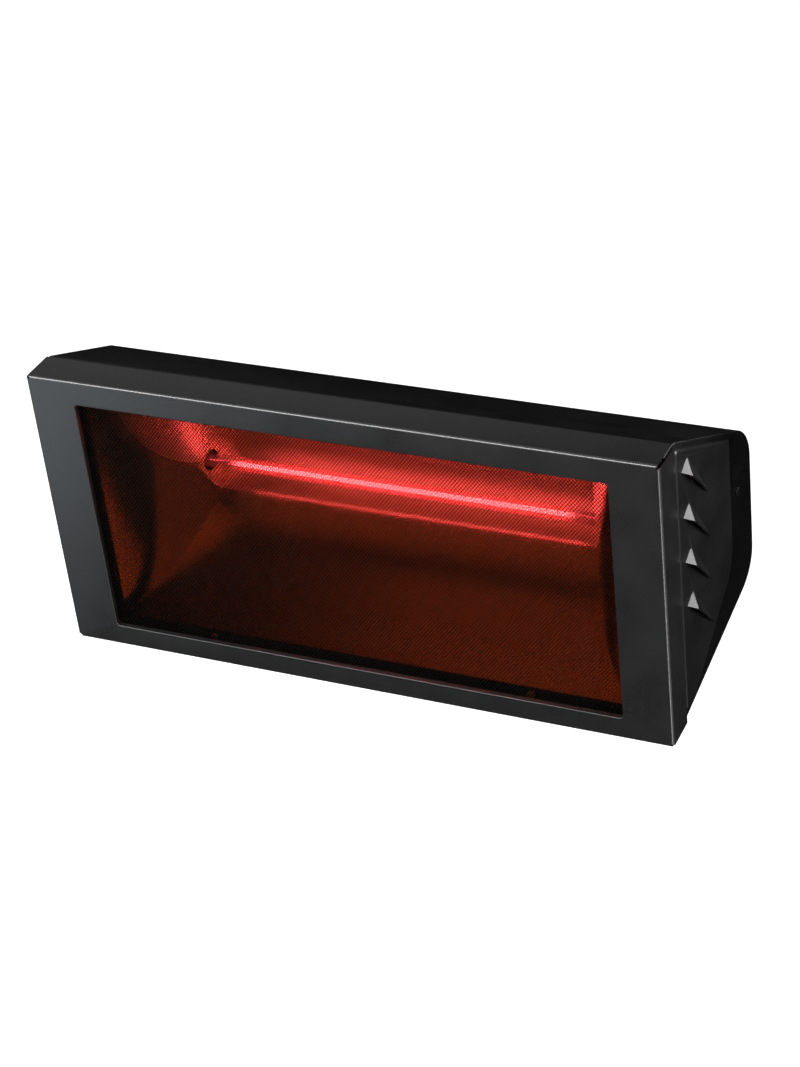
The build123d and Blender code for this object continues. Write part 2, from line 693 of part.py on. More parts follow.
# ---- Lamp ----
def lamp_tube():
    """Clear quartz tube with flat pinched ends."""
    tube = rod((-TUBE_HALF, LAMP_Y, 0), RIGHT, TUBE_RADIUS, 2 * TUBE_HALF)
    bore_half = TUBE_HALF - TUBE_END_WALL
    tube -= rod((-bore_half, LAMP_Y, 0), RIGHT, TUBE_RADIUS - TUBE_WALL, 2 * bore_half)
    half_y, half_z = PINCH_HALF
    for side in (-1, 1):
        x_span = sorted((side * (TUBE_HALF - TUBE_END_WALL / 2), side * PINCH_END))
        tube += block(x_span, (LAMP_Y - half_y, LAMP_Y + half_y), (-half_z, half_z))
    return tube


def lamp_filament():
    """Glowing stretch of wound wire, with its straight leads."""
    coil = rod((-FILAMENT_HALF, LAMP_Y, 0), RIGHT, FILAMENT_RADIUS, 2 * FILAMENT_HALF)
    reach = TUBE_HALF - TUBE_END_WALL
    return coil + rod((-reach, LAMP_Y, 0), RIGHT, LEAD_RADIUS, 2 * reach)


def lamp_end_caps():
    """Ceramic cap on each pinched end."""
    half_y, half_z = CAP_HALF
    cap = block((CAP_START, CAP_END), (LAMP_Y - half_y, LAMP_Y + half_y), (-half_z, half_z))
    cap = fillet(cap.edges().filter_by(Axis.X), CAP_ROUND)
    slot_y, slot_z = (half + RUNNING_GAP for half in PINCH_HALF)
    slot_x = (CAP_START - OVERRUN, PINCH_END)
    return both_sides(cap - block(slot_x, (LAMP_Y - slot_y, LAMP_Y + slot_y), (-slot_z, slot_z)))


def lamp_contacts():
    """Metal contact button on the outer face of each cap."""
    return both_sides(rod((CAP_END, LAMP_Y, 0), RIGHT, CONTACT_RADIUS, CONTACT_END - CAP_END))


def lampholder_right():
    """Ceramic block: pocket for the lamp's cap, guide for the contact, chamber for its spring."""
    y_span = (LAMP_Y - HOLDER_HALF_Y, LAMP_Y + HOLDER_HALF_Y)
    holder = block((HOLDER_START, HOLDER_END), y_span, (-HOLDER_HALF_Z, HOLDER_HALF_Z))
    holder = chamfer(holder.edges().filter_by(Axis.X), HOLDER_CHAMFER)
    bores = (
        (HOLDER_START - OVERRUN, HOLDER_POCKET_END, HOLDER_POCKET_RADIUS),
        (HOLDER_POCKET_END, HOLDER_GUIDE_END, PLUNGER_RADIUS + RUNNING_GAP),
        (HOLDER_GUIDE_END, HOLDER_END + OVERRUN, PLUNGER_COLLAR_RADIUS + RUNNING_GAP),
    )
    for start, end, radius in bores:
        holder -= rod((start, LAMP_Y, 0), RIGHT, radius, end - start)
    thread = shank_radius(HOLDER_SCREW) + RUNNING_GAP
    for x in BRACKET_SCREW_X:
        holder -= rod((x, LAMP_Y, -HOLDER_HALF_Z), UP, thread, HOLDER_SCREW_DEPTH)
    return holder


def contact_plunger_right():
    """Brass pin with a collar: the spring pushes it against the lamp's contact."""
    collar_end = PLUNGER_COLLAR_START + PLUNGER_COLLAR_THICK
    runs = (
        (CONTACT_END, PLUNGER_COLLAR_START, PLUNGER_RADIUS),
        (PLUNGER_COLLAR_START, collar_end, PLUNGER_COLLAR_RADIUS),
        (collar_end, collar_end + PLUNGER_TAIL_LENGTH, PLUNGER_TAIL_RADIUS),
    )
    pin, collar, tail = [rod((start, LAMP_Y, 0), RIGHT, radius, end - start) for start, end, radius in runs]
    return pin + collar + tail


def contact_spring_right():
    """Space of the small spring behind the contact's collar."""
    start = PLUNGER_COLLAR_START + PLUNGER_COLLAR_THICK
    seat = (start, LAMP_Y, 0)
    length = HOLDER_END - start
    return rod(seat, RIGHT, SPRING_OUTER, length) - rod(seat, RIGHT, SPRING_INNER, length)


def holder_terminals():
    """Brass plate behind each holder's spring, with a tab for the lead."""
    x_span = (HOLDER_END, HOLDER_END + TERMINAL_THICK)
    tab_start = LAMP_Y + TERMINAL_HALF
    plate = block(x_span, (LAMP_Y - TERMINAL_HALF, tab_start), (-TERMINAL_HALF, TERMINAL_HALF))
    tab_y = (tab_start, tab_start + TERMINAL_TAB_LENGTH)
    return both_sides(plate + block(x_span, tab_y, (-TERMINAL_TAB_HALF, TERMINAL_TAB_HALF)))


def lampholder_bracket_right():
    """Angle of sheet: a shelf under the holder and a flange down the back wall."""
    top = -HOLDER_HALF_Z
    flange_y = INNER_BACK - SHELF_THICK
    bracket = block(SHELF_X, (SHELF_FRONT, INNER_BACK), (top - SHELF_THICK, top))
    bracket += block(SHELF_X, (flange_y, INNER_BACK), (-SHELF_DROP, top))
    hole_radius = shank_radius(HOLDER_SCREW) + HOLE_GAP
    thread = shank_radius(BRACKET_SCREW) + RUNNING_GAP
    for x in BRACKET_SCREW_X:
        bracket -= drill((x, LAMP_Y, top - SHELF_THICK), UP, hole_radius, SHELF_THICK)
        bracket -= drill((x, flange_y, BRACKET_SCREW_Z), BACK, thread, SHELF_THICK)
    return bracket


def lampholder_screws():
    """Screws from below through each shelf into the ceramic."""
    seats = [(x, LAMP_Y, -HOLDER_HALF_Z - SHELF_THICK) for x in BRACKET_SCREW_X]
    return both_sides(group([pan_screw(seat, DOWN, HOLDER_SCREW) for seat in seats]))


def bracket_screws():
    """Screws from behind through the back wall into each lampholder bracket."""
    seats = [(x, BACK_Y, BRACKET_SCREW_Z) for x in BRACKET_SCREW_X]
    return both_sides(group([pan_screw(seat, BACK, BRACKET_SCREW) for seat in seats]))


# ---- Wiring ----
def terminal_block():
    """Three-pole ceramic block: lead entries below and above, clamp screws in front."""
    bottom = BLOCK_Z - BLOCK_HEIGHT / 2
    x_span = (BLOCK_X - BLOCK_WIDTH / 2, BLOCK_X + BLOCK_WIDTH / 2)
    body = block(x_span, (BLOCK_FRONT, INNER_BACK), (bottom, bottom + BLOCK_HEIGHT))
    for x in POLES:
        body -= drill((x, ENTRY_Y, bottom), UP, LEAD_TUBE + ENTRY_GAP, BLOCK_HEIGHT)
        body -= rod((x, BLOCK_FRONT, BLOCK_Z), BACK, POLE_WELL_RADIUS, POLE_WELL_DEPTH)
    head_radius = BLOCK_SCREW[0]
    for x in BLOCK_SCREW_PLACES:
        seat = (x, BLOCK_FRONT, BLOCK_Z)
        body -= drill(seat, BACK, shank_radius(BLOCK_SCREW) + HOLE_GAP, BLOCK_DEPTH)
        body -= rod(seat, BACK, head_radius + HOLE_GAP, BLOCK_SCREW_SINK)
    return body


def terminal_screws():
    """Clamp screws of the three poles."""
    seats = [(x, BLOCK_FRONT + CLAMP_SCREW_SINK, BLOCK_Z) for x in POLES]
    return group([pan_screw(seat, FRONT, CLAMP_SCREW) for seat in seats])


def terminal_block_screws():
    """Two screws that hold the terminal block to the back wall."""
    seats = [(x, BLOCK_FRONT + BLOCK_SCREW_SINK, BLOCK_Z) for x in BLOCK_SCREW_PLACES]
    return group([pan_screw(seat, FRONT, BLOCK_SCREW) for seat in seats])


def earth_stud():
    """Screw through the back wall, with a nut and a ring terminal inside."""
    stud = pan_screw((EARTH_X, BACK_Y, 0), BACK, EARTH_SCREW)
    bore = Circle(shank_radius(EARTH_SCREW) + RUNNING_GAP)
    nut_y = INNER_BACK - EARTH_NUT_THICK
    ring_y = nut_y - EARTH_RING_THICK
    nut = slab_y(Pos(EARTH_X, 0) * (hexagon(EARTH_NUT_FLATS) - bore), nut_y, EARTH_NUT_THICK)
    ring = slab_y(Pos(EARTH_X, 0) * (Circle(EARTH_RING_RADIUS) - bore), ring_y, EARTH_RING_THICK)
    tail = block(EARTH_TAIL_X, (ring_y, nut_y), (-EARTH_TAIL_HALF, EARTH_TAIL_HALF))
    return group([stud, nut, ring + tail])


def lead_live():
    """Lead from the block's right pole to the right lampholder's tab."""
    pole = POLES[2]
    tab_x = HOLDER_END + TERMINAL_THICK + LEAD_TUBE
    points = [
        (pole, ENTRY_Y, BLOCK_Z),
        (pole, ENTRY_Y, LEAD_LEVEL),
        (tab_x, 117, 0),
        (tab_x, TAB_JOINT_Y, 0),
    ]
    return tube_along(points, (5, 8), LEAD_TUBE)


def lead_neutral():
    """Lead from the block's left pole, over the trough, to the left lampholder's tab."""
    pole = POLES[0]
    tab_x = -(HOLDER_END + TERMINAL_THICK + LEAD_TUBE)
    points = [
        (pole, ENTRY_Y, BLOCK_Z),
        (pole, ENTRY_Y, 44),
        (164, 108, 57),
        (-164, 108, 57),
        (-190, 116, 36),
        (tab_x, 118, 2),
        (tab_x, TAB_JOINT_Y, 0),
    ]
    return tube_along(points, (8, 12, 14, 14, 8), LEAD_TUBE)


def lead_earth():
    """Lead from the block's middle pole to the earth stud's ring."""
    pole = POLES[1]
    ring_y = INNER_BACK - EARTH_NUT_THICK - EARTH_RING_THICK - LEAD_TUBE
    points = [
        (pole, ENTRY_Y, BLOCK_Z),
        (pole, ENTRY_Y, LEAD_LEVEL),
        (181, ring_y, 0),
        (EARTH_X + 5, ring_y, 0),
    ]
    return tube_along(points, (5, 5), LEAD_TUBE)


def gland_body():
    """Cable gland: threaded sleeve through the back wall with a hexagon flange outside."""
    inner_end = BACK_Y - GLAND_INSIDE
    flange_end = BACK_Y + GLAND_FLANGE
    body = slab_y(Pos(GLAND_X, GLAND_Z) * hexagon(GLAND_FLATS), BACK_Y, GLAND_FLANGE)
    body += rod((GLAND_X, inner_end, GLAND_Z), BACK, GLAND_THREAD, GLAND_INSIDE)
    body += rod((GLAND_X, flange_end, GLAND_Z), BACK, GLAND_COLLET_RADIUS, GLAND_COLLET_LENGTH)
    length = flange_end + GLAND_COLLET_LENGTH - inner_end
    return body - drill((GLAND_X, inner_end, GLAND_Z), BACK, GLAND_BORE, length)


def gland_dome_nut():
    """Dome nut that squeezes the seal round the cable."""
    seat = (GLAND_X, DOME_NUT_START, GLAND_Z)
    dome_seat = (GLAND_X, DOME_NUT_START + DOME_NUT_LENGTH, GLAND_Z)
    nut = slab_y(Pos(GLAND_X, GLAND_Z) * hexagon(DOME_NUT_FLATS), DOME_NUT_START, DOME_NUT_LENGTH)
    nut += Plane(dome_seat, z_dir=BACK) * Cone(*DOME_RADII, DOME_LENGTH, align=BOTTOM_ALIGN)
    nut -= rod(seat, BACK, GLAND_COLLET_RADIUS + HOLE_GAP, DOME_NUT_DEPTH)
    return nut - drill(seat, BACK, GLAND_BORE, DOME_NUT_LENGTH + DOME_LENGTH)


def gland_seal():
    """Rubber ring inside the gland."""
    seat = (GLAND_X, SEAL_START, GLAND_Z)
    bore = drill(seat, BACK, SEAL_BORE, SEAL_LENGTH)
    return rod(seat, BACK, GLAND_BORE - HOLE_GAP, SEAL_LENGTH) - bore


def gland_lock_nut():
    """Hexagon nut inside the back wall."""
    outline = Pos(GLAND_X, GLAND_Z) * (hexagon(GLAND_FLATS) - Circle(GLAND_THREAD + HOLE_GAP))
    return slab_y(outline, INNER_BACK - LOCK_NUT_THICK, LOCK_NUT_THICK)


# ---- Tilting mount ----
def ear_outline(root_y, half_height, centre_z, round_radius):
    """Side view of an ear: a straight root and a round end about the pivot."""
    root = [(root_y, centre_z + half_height), (root_y, centre_z - half_height)]
    reach = [(PIVOT_Y, PIVOT_Z - round_radius), (PIVOT_Y, PIVOT_Z + round_radius)]
    web = make_face(Polyline(*root, *reach, close=True))
    return web + Pos(PIVOT_Y, PIVOT_Z) * Circle(round_radius)


def rear_hinge_bracket():
    """Channel riveted to the back wall, whose two lugs turn on the pivot bolt."""
    half = CHANNEL_HALF_HEIGHT
    y_span = (BACK_Y, BACK_Y + LUG_SHEET)
    base = block((-LUG_OUTER, LUG_OUTER), y_span, (PIVOT_Z - half, PIVOT_Z + half))
    outline = ear_outline(BACK_Y, half, PIVOT_Z, LUG_ROUND)
    for start in (-LUG_OUTER, LUG_OUTER - LUG_SHEET):
        base += slab_x(outline, start, LUG_SHEET)
    base -= drill((-LUG_OUTER, PIVOT_Y, PIVOT_Z), RIGHT, BOLT_RADIUS + RUNNING_GAP, 2 * LUG_OUTER)
    for x in (-RIVET_X, RIVET_X):
        for z in RIVET_HEIGHTS:
            base -= drill((x, BACK_Y, z), BACK, RIVET_RADIUS + RUNNING_GAP, LUG_SHEET)
    return base


def hinge_rivets():
    """Four rivets through the channel and the back wall."""
    inner_radius, inner_height = RIVET_INNER_HEAD
    outer_radius, outer_height = RIVET_OUTER_HEAD
    start = INNER_BACK - inner_height
    length = BODY_SHEET + LUG_SHEET + 2 * inner_height
    rivets = []
    for x in (-RIVET_X, RIVET_X):
        for z in RIVET_HEIGHTS:
            shank = rod((x, start, z), BACK, RIVET_RADIUS, length)
            inner_head = rod((x, start, z), BACK, inner_radius, inner_height)
            outer_head = rod((x, BACK_Y + LUG_SHEET, z), BACK, outer_radius, outer_height)
            rim = outer_head.edges().group_by(Axis.Y)[-1]
            rivets.append(shank + inner_head + fillet(rim, RIVET_ROUND))
    return group(rivets)


def wall_bracket():
    """Folded steel channel: a wall plate with four holes and two ears that carry the pivot."""
    half = PLATE_HEIGHT / 2
    plate_y = WALL_Y - EAR_SHEET
    z_span = (PLATE_Z - half, PLATE_Z + half)
    bracket = block((-EAR_OUTER, EAR_OUTER), (plate_y, WALL_Y), z_span)
    outline = ear_outline(WALL_Y, half, PLATE_Z, EAR_ROUND)
    for start in (-EAR_OUTER, EAR_INNER):
        bracket += slab_x(outline, start, EAR_SHEET)
    bracket -= drill((-EAR_OUTER, PIVOT_Y, PIVOT_Z), RIGHT, BOLT_RADIUS + HOLE_GAP, 2 * EAR_OUTER)
    for x in (-WALL_HOLE_X, WALL_HOLE_X):
        for z in (PLATE_Z - WALL_HOLE_Z, PLATE_Z + WALL_HOLE_Z):
            bracket -= drill((x, plate_y, z), BACK, WALL_HOLE_RADIUS, EAR_SHEET)
    return bracket


def pivot_washer(start, thickness, radius):
    """A flat washer on the pivot bolt."""
    seat = (start, PIVOT_Y, PIVOT_Z)
    return rod(seat, RIGHT, radius, thickness) - drill(seat, RIGHT, BOLT_RADIUS + HOLE_GAP, thickness)


def pivot_washers():
    """Steel washers outside the ears and fibre washers between ears and lugs."""
    outside = both_sides(pivot_washer(EAR_OUTER, WASHER_THICK, WASHER_RADIUS))
    between = both_sides(pivot_washer(LUG_OUTER, EAR_INNER - LUG_OUTER, FIBRE_WASHER_RADIUS))
    return group([outside, between])


def pivot_bolt():
    """Bolt through ears and lugs, its hexagon head on the left."""
    head_face = -(EAR_OUTER + WASHER_THICK)
    outline = Pos(PIVOT_Y, PIVOT_Z) * hexagon(BOLT_HEAD_FLATS)
    head = slab_x(outline, head_face - BOLT_HEAD_HEIGHT, BOLT_HEAD_HEIGHT)
    return head + rod((head_face, PIVOT_Y, PIVOT_Z), RIGHT, BOLT_RADIUS, BOLT_END - head_face)


def knob_insert():
    """Brass bush of the clamp knob, threaded onto the bolt."""
    seat = (EAR_OUTER + WASHER_THICK, PIVOT_Y, PIVOT_Z)
    bore = drill(seat, RIGHT, BOLT_RADIUS + RUNNING_GAP, BUSH_LENGTH)
    return rod(seat, RIGHT, BUSH_RADIUS, BUSH_LENGTH) - bore


def clamp_knob():
    """Lobed hand knob that clamps the tilt."""
    bush_start = EAR_OUTER + WASHER_THICK
    reach = KNOB_RADIUS - KNOB_LOBE_RADIUS
    outline = Pos(PIVOT_Y, PIVOT_Z) * Circle(KNOB_WAIST)
    for lobe in range(KNOB_LOBES):
        angle = 2 * math.pi * lobe / KNOB_LOBES
        spot = Pos(PIVOT_Y + reach * math.cos(angle), PIVOT_Z + reach * math.sin(angle))
        outline += spot * Circle(KNOB_LOBE_RADIUS)
    knob = slab_x(outline, bush_start + KNOB_SKIN, KNOB_LENGTH)
    knob = chamfer(knob.edges().group_by(Axis.X)[-1], KNOB_CHAMFER)
    return knob - rod((bush_start, PIVOT_Y, PIVOT_Z), RIGHT, BUSH_RADIUS, BUSH_LENGTH)


# ---- Export, with the origin on the wall at the middle of the hole pattern ----
PIECES = {
    "front_bezel": front_bezel(),
    "mesh_guard": mesh_guard(),
    "glass_gasket": glass_gasket(),
    "glass_pane": glass_pane(),
    "glass_clips": glass_clips(),
    "glass_clip_screws": glass_clip_screws(),
    "bezel_screws": bezel_screws(),
    "body_shell": body_shell(),
    "side_panel_right": side_panel_right(),
    "side_panel_left": mirrored(side_panel_right()),
    "side_panel_screws": side_panel_screws(),
    "reflector_trough": reflector_trough(),
    "reflector_end_right": reflector_end_right(),
    "reflector_end_left": mirrored(reflector_end_right()),
    "reflector_screws": reflector_screws(),
    "heat_shield": heat_shield(),
    "heat_shield_spacers": heat_shield_spacers(),
    "heat_shield_screws": heat_shield_screws(),
    "lamp_tube": lamp_tube(),
    "lamp_filament": lamp_filament(),
    "lamp_end_caps": lamp_end_caps(),
    "lamp_contacts": lamp_contacts(),
    "lampholder_right": lampholder_right(),
    "lampholder_left": mirrored(lampholder_right()),
    "contact_plunger_right": contact_plunger_right(),
    "contact_plunger_left": mirrored(contact_plunger_right()),
    "contact_spring_right": contact_spring_right(),
    "contact_spring_left": mirrored(contact_spring_right()),
    "holder_terminals": holder_terminals(),
    "lampholder_bracket_right": lampholder_bracket_right(),
    "lampholder_bracket_left": mirrored(lampholder_bracket_right()),
    "lampholder_screws": lampholder_screws(),
    "bracket_screws": bracket_screws(),
    "terminal_block": terminal_block(),
    "terminal_screws": terminal_screws(),
    "terminal_block_screws": terminal_block_screws(),
    "earth_stud": earth_stud(),
    "lead_live": lead_live(),
    "lead_neutral": lead_neutral(),
    "lead_earth": lead_earth(),
    "gland_body": gland_body(),
    "gland_dome_nut": gland_dome_nut(),
    "gland_seal": gland_seal(),
    "gland_lock_nut": gland_lock_nut(),
    "rear_hinge_bracket": rear_hinge_bracket(),
    "hinge_rivets": hinge_rivets(),
    "wall_bracket": wall_bracket(),
    "pivot_washers": pivot_washers(),
    "pivot_bolt": pivot_bolt(),
    "knob_insert": knob_insert(),
    "clamp_knob": clamp_knob(),
}

for name, shape in PIECES.items():
    export_step(Pos(0, -WALL_Y, -PLATE_Z) * shape, f"parts/{name}.step")
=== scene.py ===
import math

import bmesh
import bpy
from mathutils import Matrix, Vector
from mathutils.geometry import delaunay_2d_cdt


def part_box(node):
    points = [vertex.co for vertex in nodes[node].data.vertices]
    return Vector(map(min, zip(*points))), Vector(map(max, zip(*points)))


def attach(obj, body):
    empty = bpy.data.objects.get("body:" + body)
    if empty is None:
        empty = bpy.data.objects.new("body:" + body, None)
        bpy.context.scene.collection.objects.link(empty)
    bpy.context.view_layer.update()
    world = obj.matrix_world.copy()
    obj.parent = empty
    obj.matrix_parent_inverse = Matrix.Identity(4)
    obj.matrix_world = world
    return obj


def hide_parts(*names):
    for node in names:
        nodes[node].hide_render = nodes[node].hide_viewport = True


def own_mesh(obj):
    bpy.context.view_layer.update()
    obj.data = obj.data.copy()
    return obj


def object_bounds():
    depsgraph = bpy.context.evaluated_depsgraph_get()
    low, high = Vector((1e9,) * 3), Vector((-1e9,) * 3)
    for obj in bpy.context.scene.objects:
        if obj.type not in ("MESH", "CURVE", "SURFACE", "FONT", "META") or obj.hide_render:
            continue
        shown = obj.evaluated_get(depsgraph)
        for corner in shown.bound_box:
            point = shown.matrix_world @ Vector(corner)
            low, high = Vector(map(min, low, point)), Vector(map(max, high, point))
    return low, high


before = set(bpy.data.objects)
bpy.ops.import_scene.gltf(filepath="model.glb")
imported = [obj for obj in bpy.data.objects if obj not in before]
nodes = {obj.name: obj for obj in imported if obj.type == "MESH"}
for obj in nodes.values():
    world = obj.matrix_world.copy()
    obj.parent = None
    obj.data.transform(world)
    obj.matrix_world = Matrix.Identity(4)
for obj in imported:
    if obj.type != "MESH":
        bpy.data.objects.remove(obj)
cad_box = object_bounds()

# ---- Camera ----
# The photograph is taken from in front of the heater, 28 degrees to its right and 33 degrees
# above it, with a long lens and the camera turned a little clockwise.
CAMERA_SPOT = Vector((0.69073, -1.42636, 0.95630))
CAMERA_AIM = Vector((-0.39045, 0.74224, -0.54465))
CAMERA_ROLL = math.radians(-6.83)
LENS_MM = 86.235
FILM_MM = 36.0
CLIP_START = 0.05
CLIP_END = 60.0

camera_data = bpy.data.cameras.new("camera")
camera_data.lens = LENS_MM
camera_data.sensor_width = FILM_MM
camera_data.sensor_fit = "AUTO"
camera_data.clip_start = CLIP_START
camera_data.clip_end = CLIP_END
camera = bpy.data.objects.new("camera", camera_data)
level_view = CAMERA_AIM.to_track_quat("-Z", "Y").to_matrix().to_4x4()
rolled = Matrix.Rotation(CAMERA_ROLL, 4, "Z")
camera.matrix_world = Matrix.Translation(CAMERA_SPOT) @ level_view @ rolled
bpy.context.scene.collection.objects.link(camera)
bpy.context.scene.camera = camera
bpy.context.scene.view_settings.view_transform = "Standard"


# ---- Studio ----
# The heater hangs clear of a plain pale floor. A wide soft box above the front lights it, with a
# low cool one at the left. Cards that only reflections meet draw its folds and keep it dark.
FLOOR_DROP = 0.55
FLOOR_SIZE = 14.0
FLOOR_COLOUR = (0.86, 0.86, 0.86, 1)
FLOOR_LIFT = 0.75
SKY_COLOUR = (1.0, 1.0, 1.0, 1)
SKY_LEVEL = 0.42
HEATER_MIDDLE = Vector((0, -0.12, 0.03))


def add(tree, kind, inputs=None, **settings):
    """One node in a tree: its settings, then its inputs, each a value or another node's output."""
    node = tree.nodes.new(kind)
    for name, value in settings.items():
        setattr(node, name, value)
    for key, value in (inputs or {}).items():
        if isinstance(value, bpy.types.NodeSocket):
            tree.links.new(value, node.inputs[key])
        else:
            node.inputs[key].default_value = value
    return node


def calculated(tree, operation, first, second=0.0):
    """One step of arithmetic in a node tree."""
    return add(tree, "ShaderNodeMath", {0: first, 1: second}, operation=operation).outputs[0]


def mapped(tree, value, source, target=(0.0, 1.0), **settings):
    """A value carried from one range into another, and held inside it."""
    limits = {"From Min": source[0], "From Max": source[1], "To Min": target[0], "To Max": target[1]}
    return add(tree, "ShaderNodeMapRange", {"Value": value, **limits}, **settings).outputs[0]


def noise(tree, where, scale, detail, roughness=0.5):
    """A soft uneven pattern from 0 to 1."""
    inputs = {"Vector": where, "Scale": scale, "Detail": detail, "Roughness": roughness}
    return add(tree, "ShaderNodeTexNoise", inputs).outputs["Fac"]


def on_object(tree):
    """Where a point lies on its own object."""
    return add(tree, "ShaderNodeTexCoord").outputs["Object"]


def seen_directly(tree):
    """1 where a camera, glossy or transmission ray arrives, and 0 for light on the object."""
    path = add(tree, "ShaderNodeLightPath").outputs
    some = calculated(tree, "MAXIMUM", path["Is Camera Ray"], path["Is Glossy Ray"])
    return calculated(tree, "MAXIMUM", some, path["Is Transmission Ray"])


def blank_material(name):
    """A new material with an empty node tree, and its output node."""
    material = bpy.data.materials.new(name)
    material.use_nodes = True
    material.node_tree.nodes.clear()
    return material, material.node_tree, add(material.node_tree, "ShaderNodeOutputMaterial")


def flat_card(name, corners, material):
    """A card of one flat face, which isn't part of the heater."""
    mesh = bpy.data.meshes.new(name)
    mesh.from_pydata(corners, [], [(0, 1, 2, 3)])
    mesh.materials.append(material)
    card = bpy.data.objects.new(name, mesh)
    bpy.context.scene.collection.objects.link(card)
    return card


def level_corners(left, right, front, back, height):
    """The corners of a level rectangle."""
    return [(left, front, height), (right, front, height), (right, back, height), (left, back, height)]


floor_material, tree, output = blank_material("floor_card")
matt = add(tree, "ShaderNodeBsdfDiffuse", {"Color": FLOOR_COLOUR})
lift = calculated(tree, "MULTIPLY", seen_directly(tree), FLOOR_LIFT)
glow = add(tree, "ShaderNodeEmission", {"Strength": lift})
both = add(tree, "ShaderNodeAddShader", {0: matt.outputs[0], 1: glow.outputs[0]})
tree.links.new(both.outputs[0], output.inputs["Surface"])
floor_z = cad_box[0].z - FLOOR_DROP
half = FLOOR_SIZE / 2
flat_card("floor", level_corners(-half, half, -half, half, floor_z), floor_material)

world = bpy.data.worlds.new("studio")
bpy.context.scene.world = world
world.use_nodes = True
tree = world.node_tree
tree.nodes.clear()
dim = add(tree, "ShaderNodeBackground", {"Color": SKY_COLOUR, "Strength": SKY_LEVEL})
bright = add(tree, "ShaderNodeBackground", {"Color": SKY_COLOUR, "Strength": 1.0})
shares = {0: seen_directly(tree), 1: dim.outputs[0], 2: bright.outputs[0]}
sky = add(tree, "ShaderNodeMixShader", shares)
tree.links.new(sky.outputs[0], add(tree, "ShaderNodeOutputWorld").inputs["Surface"])


def facing(direction, distance):
    """A place in a direction from the heater's middle, turned to face it."""
    aim = -Vector(direction).normalized()
    spot = HEATER_MIDDLE - aim * distance
    return Matrix.Translation(spot) @ aim.to_track_quat("-Z", "Y").to_matrix().to_4x4()


def soft_box(name, direction, distance, width, height, level, colour=(1, 1, 1), mirrored=True):
    """A flat lamp that faces the heater. Its level is its brightness, and 1 is white."""
    lamp = bpy.data.lights.new(name, "AREA")
    lamp.color = colour
    lamp.shape = "RECTANGLE"
    lamp.size = width
    lamp.size_y = height
    lamp.energy = level * math.pi * width * height
    box = bpy.data.objects.new(name, lamp)
    box.matrix_world = facing(direction, distance)
    box.visible_camera = False
    box.visible_glossy = mirrored
    box.visible_transmission = mirrored
    bpy.context.scene.collection.objects.link(box)


soft_box("top_box", (-0.39, -0.78, 0.48), distance=1.5, width=1.3, height=0.34, level=22.0,
         mirrored=False)
soft_box("low_box", (-0.70, -0.67, -0.24), distance=1.1, width=0.45, height=0.5, level=2.0,
         colour=(0.80, 0.91, 1.0))


def mirror_card(name, corners, material, through_glass=False):
    """A card that only reflections meet, or only rays that leave the heater through its glass."""
    card = flat_card(name, corners, material)
    for ray in ("camera", "diffuse", "volume_scatter", "shadow"):
        setattr(card, "visible_" + ray, False)
    card.visible_transmission = through_glass
    card.visible_glossy = not through_glass


def glow_card(name, direction, distance, width, height, level):
    """A card that faces the heater from a direction and shines, but only into reflections."""
    shine, tree, output = blank_material(name)
    glow = add(tree, "ShaderNodeEmission", {"Strength": level})
    tree.links.new(glow.outputs[0], output.inputs["Surface"])
    turn = facing(direction, distance)
    corners = level_corners(-width / 2, width / 2, -height / 2, height / 2, 0)
    mirror_card(name, [turn @ Vector(corner) for corner in corners], shine)


# Bright cards draw the lines of light on the top fold, the right fold and the panel's rim, and
# light the louvres. Two dim ones keep a tone on the right flank and on the top flange.
glow_card("fold_card", (-0.39, -0.80, 0.40), distance=1.35, width=1.7, height=0.42, level=28.0)
glow_card("edge_card", (0.54, -0.64, -0.40), distance=0.95, width=0.2, height=0.5, level=14.0)
glow_card("louvre_card", (0.93, 0.06, 0.36), distance=1.2, width=1.0, height=1.0, level=26.0)
glow_card("rim_card", (0.42, 0.46, 0.28), distance=0.68, width=0.17, height=0.2, level=24.0)
glow_card("flank_card", (0.50, 0.45, -0.39), distance=0.74, width=0.5, height=0.5, level=0.03)
glow_card("flange_card", (-0.39, 0.742, 0.545), distance=0.55, width=0.9, height=0.4, level=0.30)

# Black cards behind and below the heater keep its dark coats dark.
CARD_BLACK = (0.002, 0.002, 0.002, 1)
CARD_HALF = 1.6
CARD_FRONT = -3.0
CARD_BACK = 0.35
CARD_TOP = 1.5
CARD_LIFT = 0.02
CARD_BOTTOM = floor_z + CARD_LIFT
LOW_CARD_RIGHT = 0.35
SIDE_CARD_FRONT = -0.05
card_black, tree, output = blank_material("card_black")
matt = add(tree, "ShaderNodeBsdfDiffuse", {"Color": CARD_BLACK})
tree.links.new(matt.outputs[0], output.inputs["Surface"])
upright = [(-CARD_HALF, CARD_BACK, CARD_BOTTOM), (CARD_HALF, CARD_BACK, CARD_BOTTOM),
           (CARD_HALF, CARD_BACK, CARD_TOP), (-CARD_HALF, CARD_BACK, CARD_TOP)]
mirror_card("back_card", upright, card_black)
below = level_corners(-CARD_HALF, LOW_CARD_RIGHT, CARD_FRONT, CARD_BACK, CARD_BOTTOM)
mirror_card("low_card", below, card_black)
beside = level_corners(LOW_CARD_RIGHT, CARD_HALF, SIDE_CARD_FRONT, CARD_BACK, CARD_BOTTOM)
mirror_card("side_card", beside, card_black)

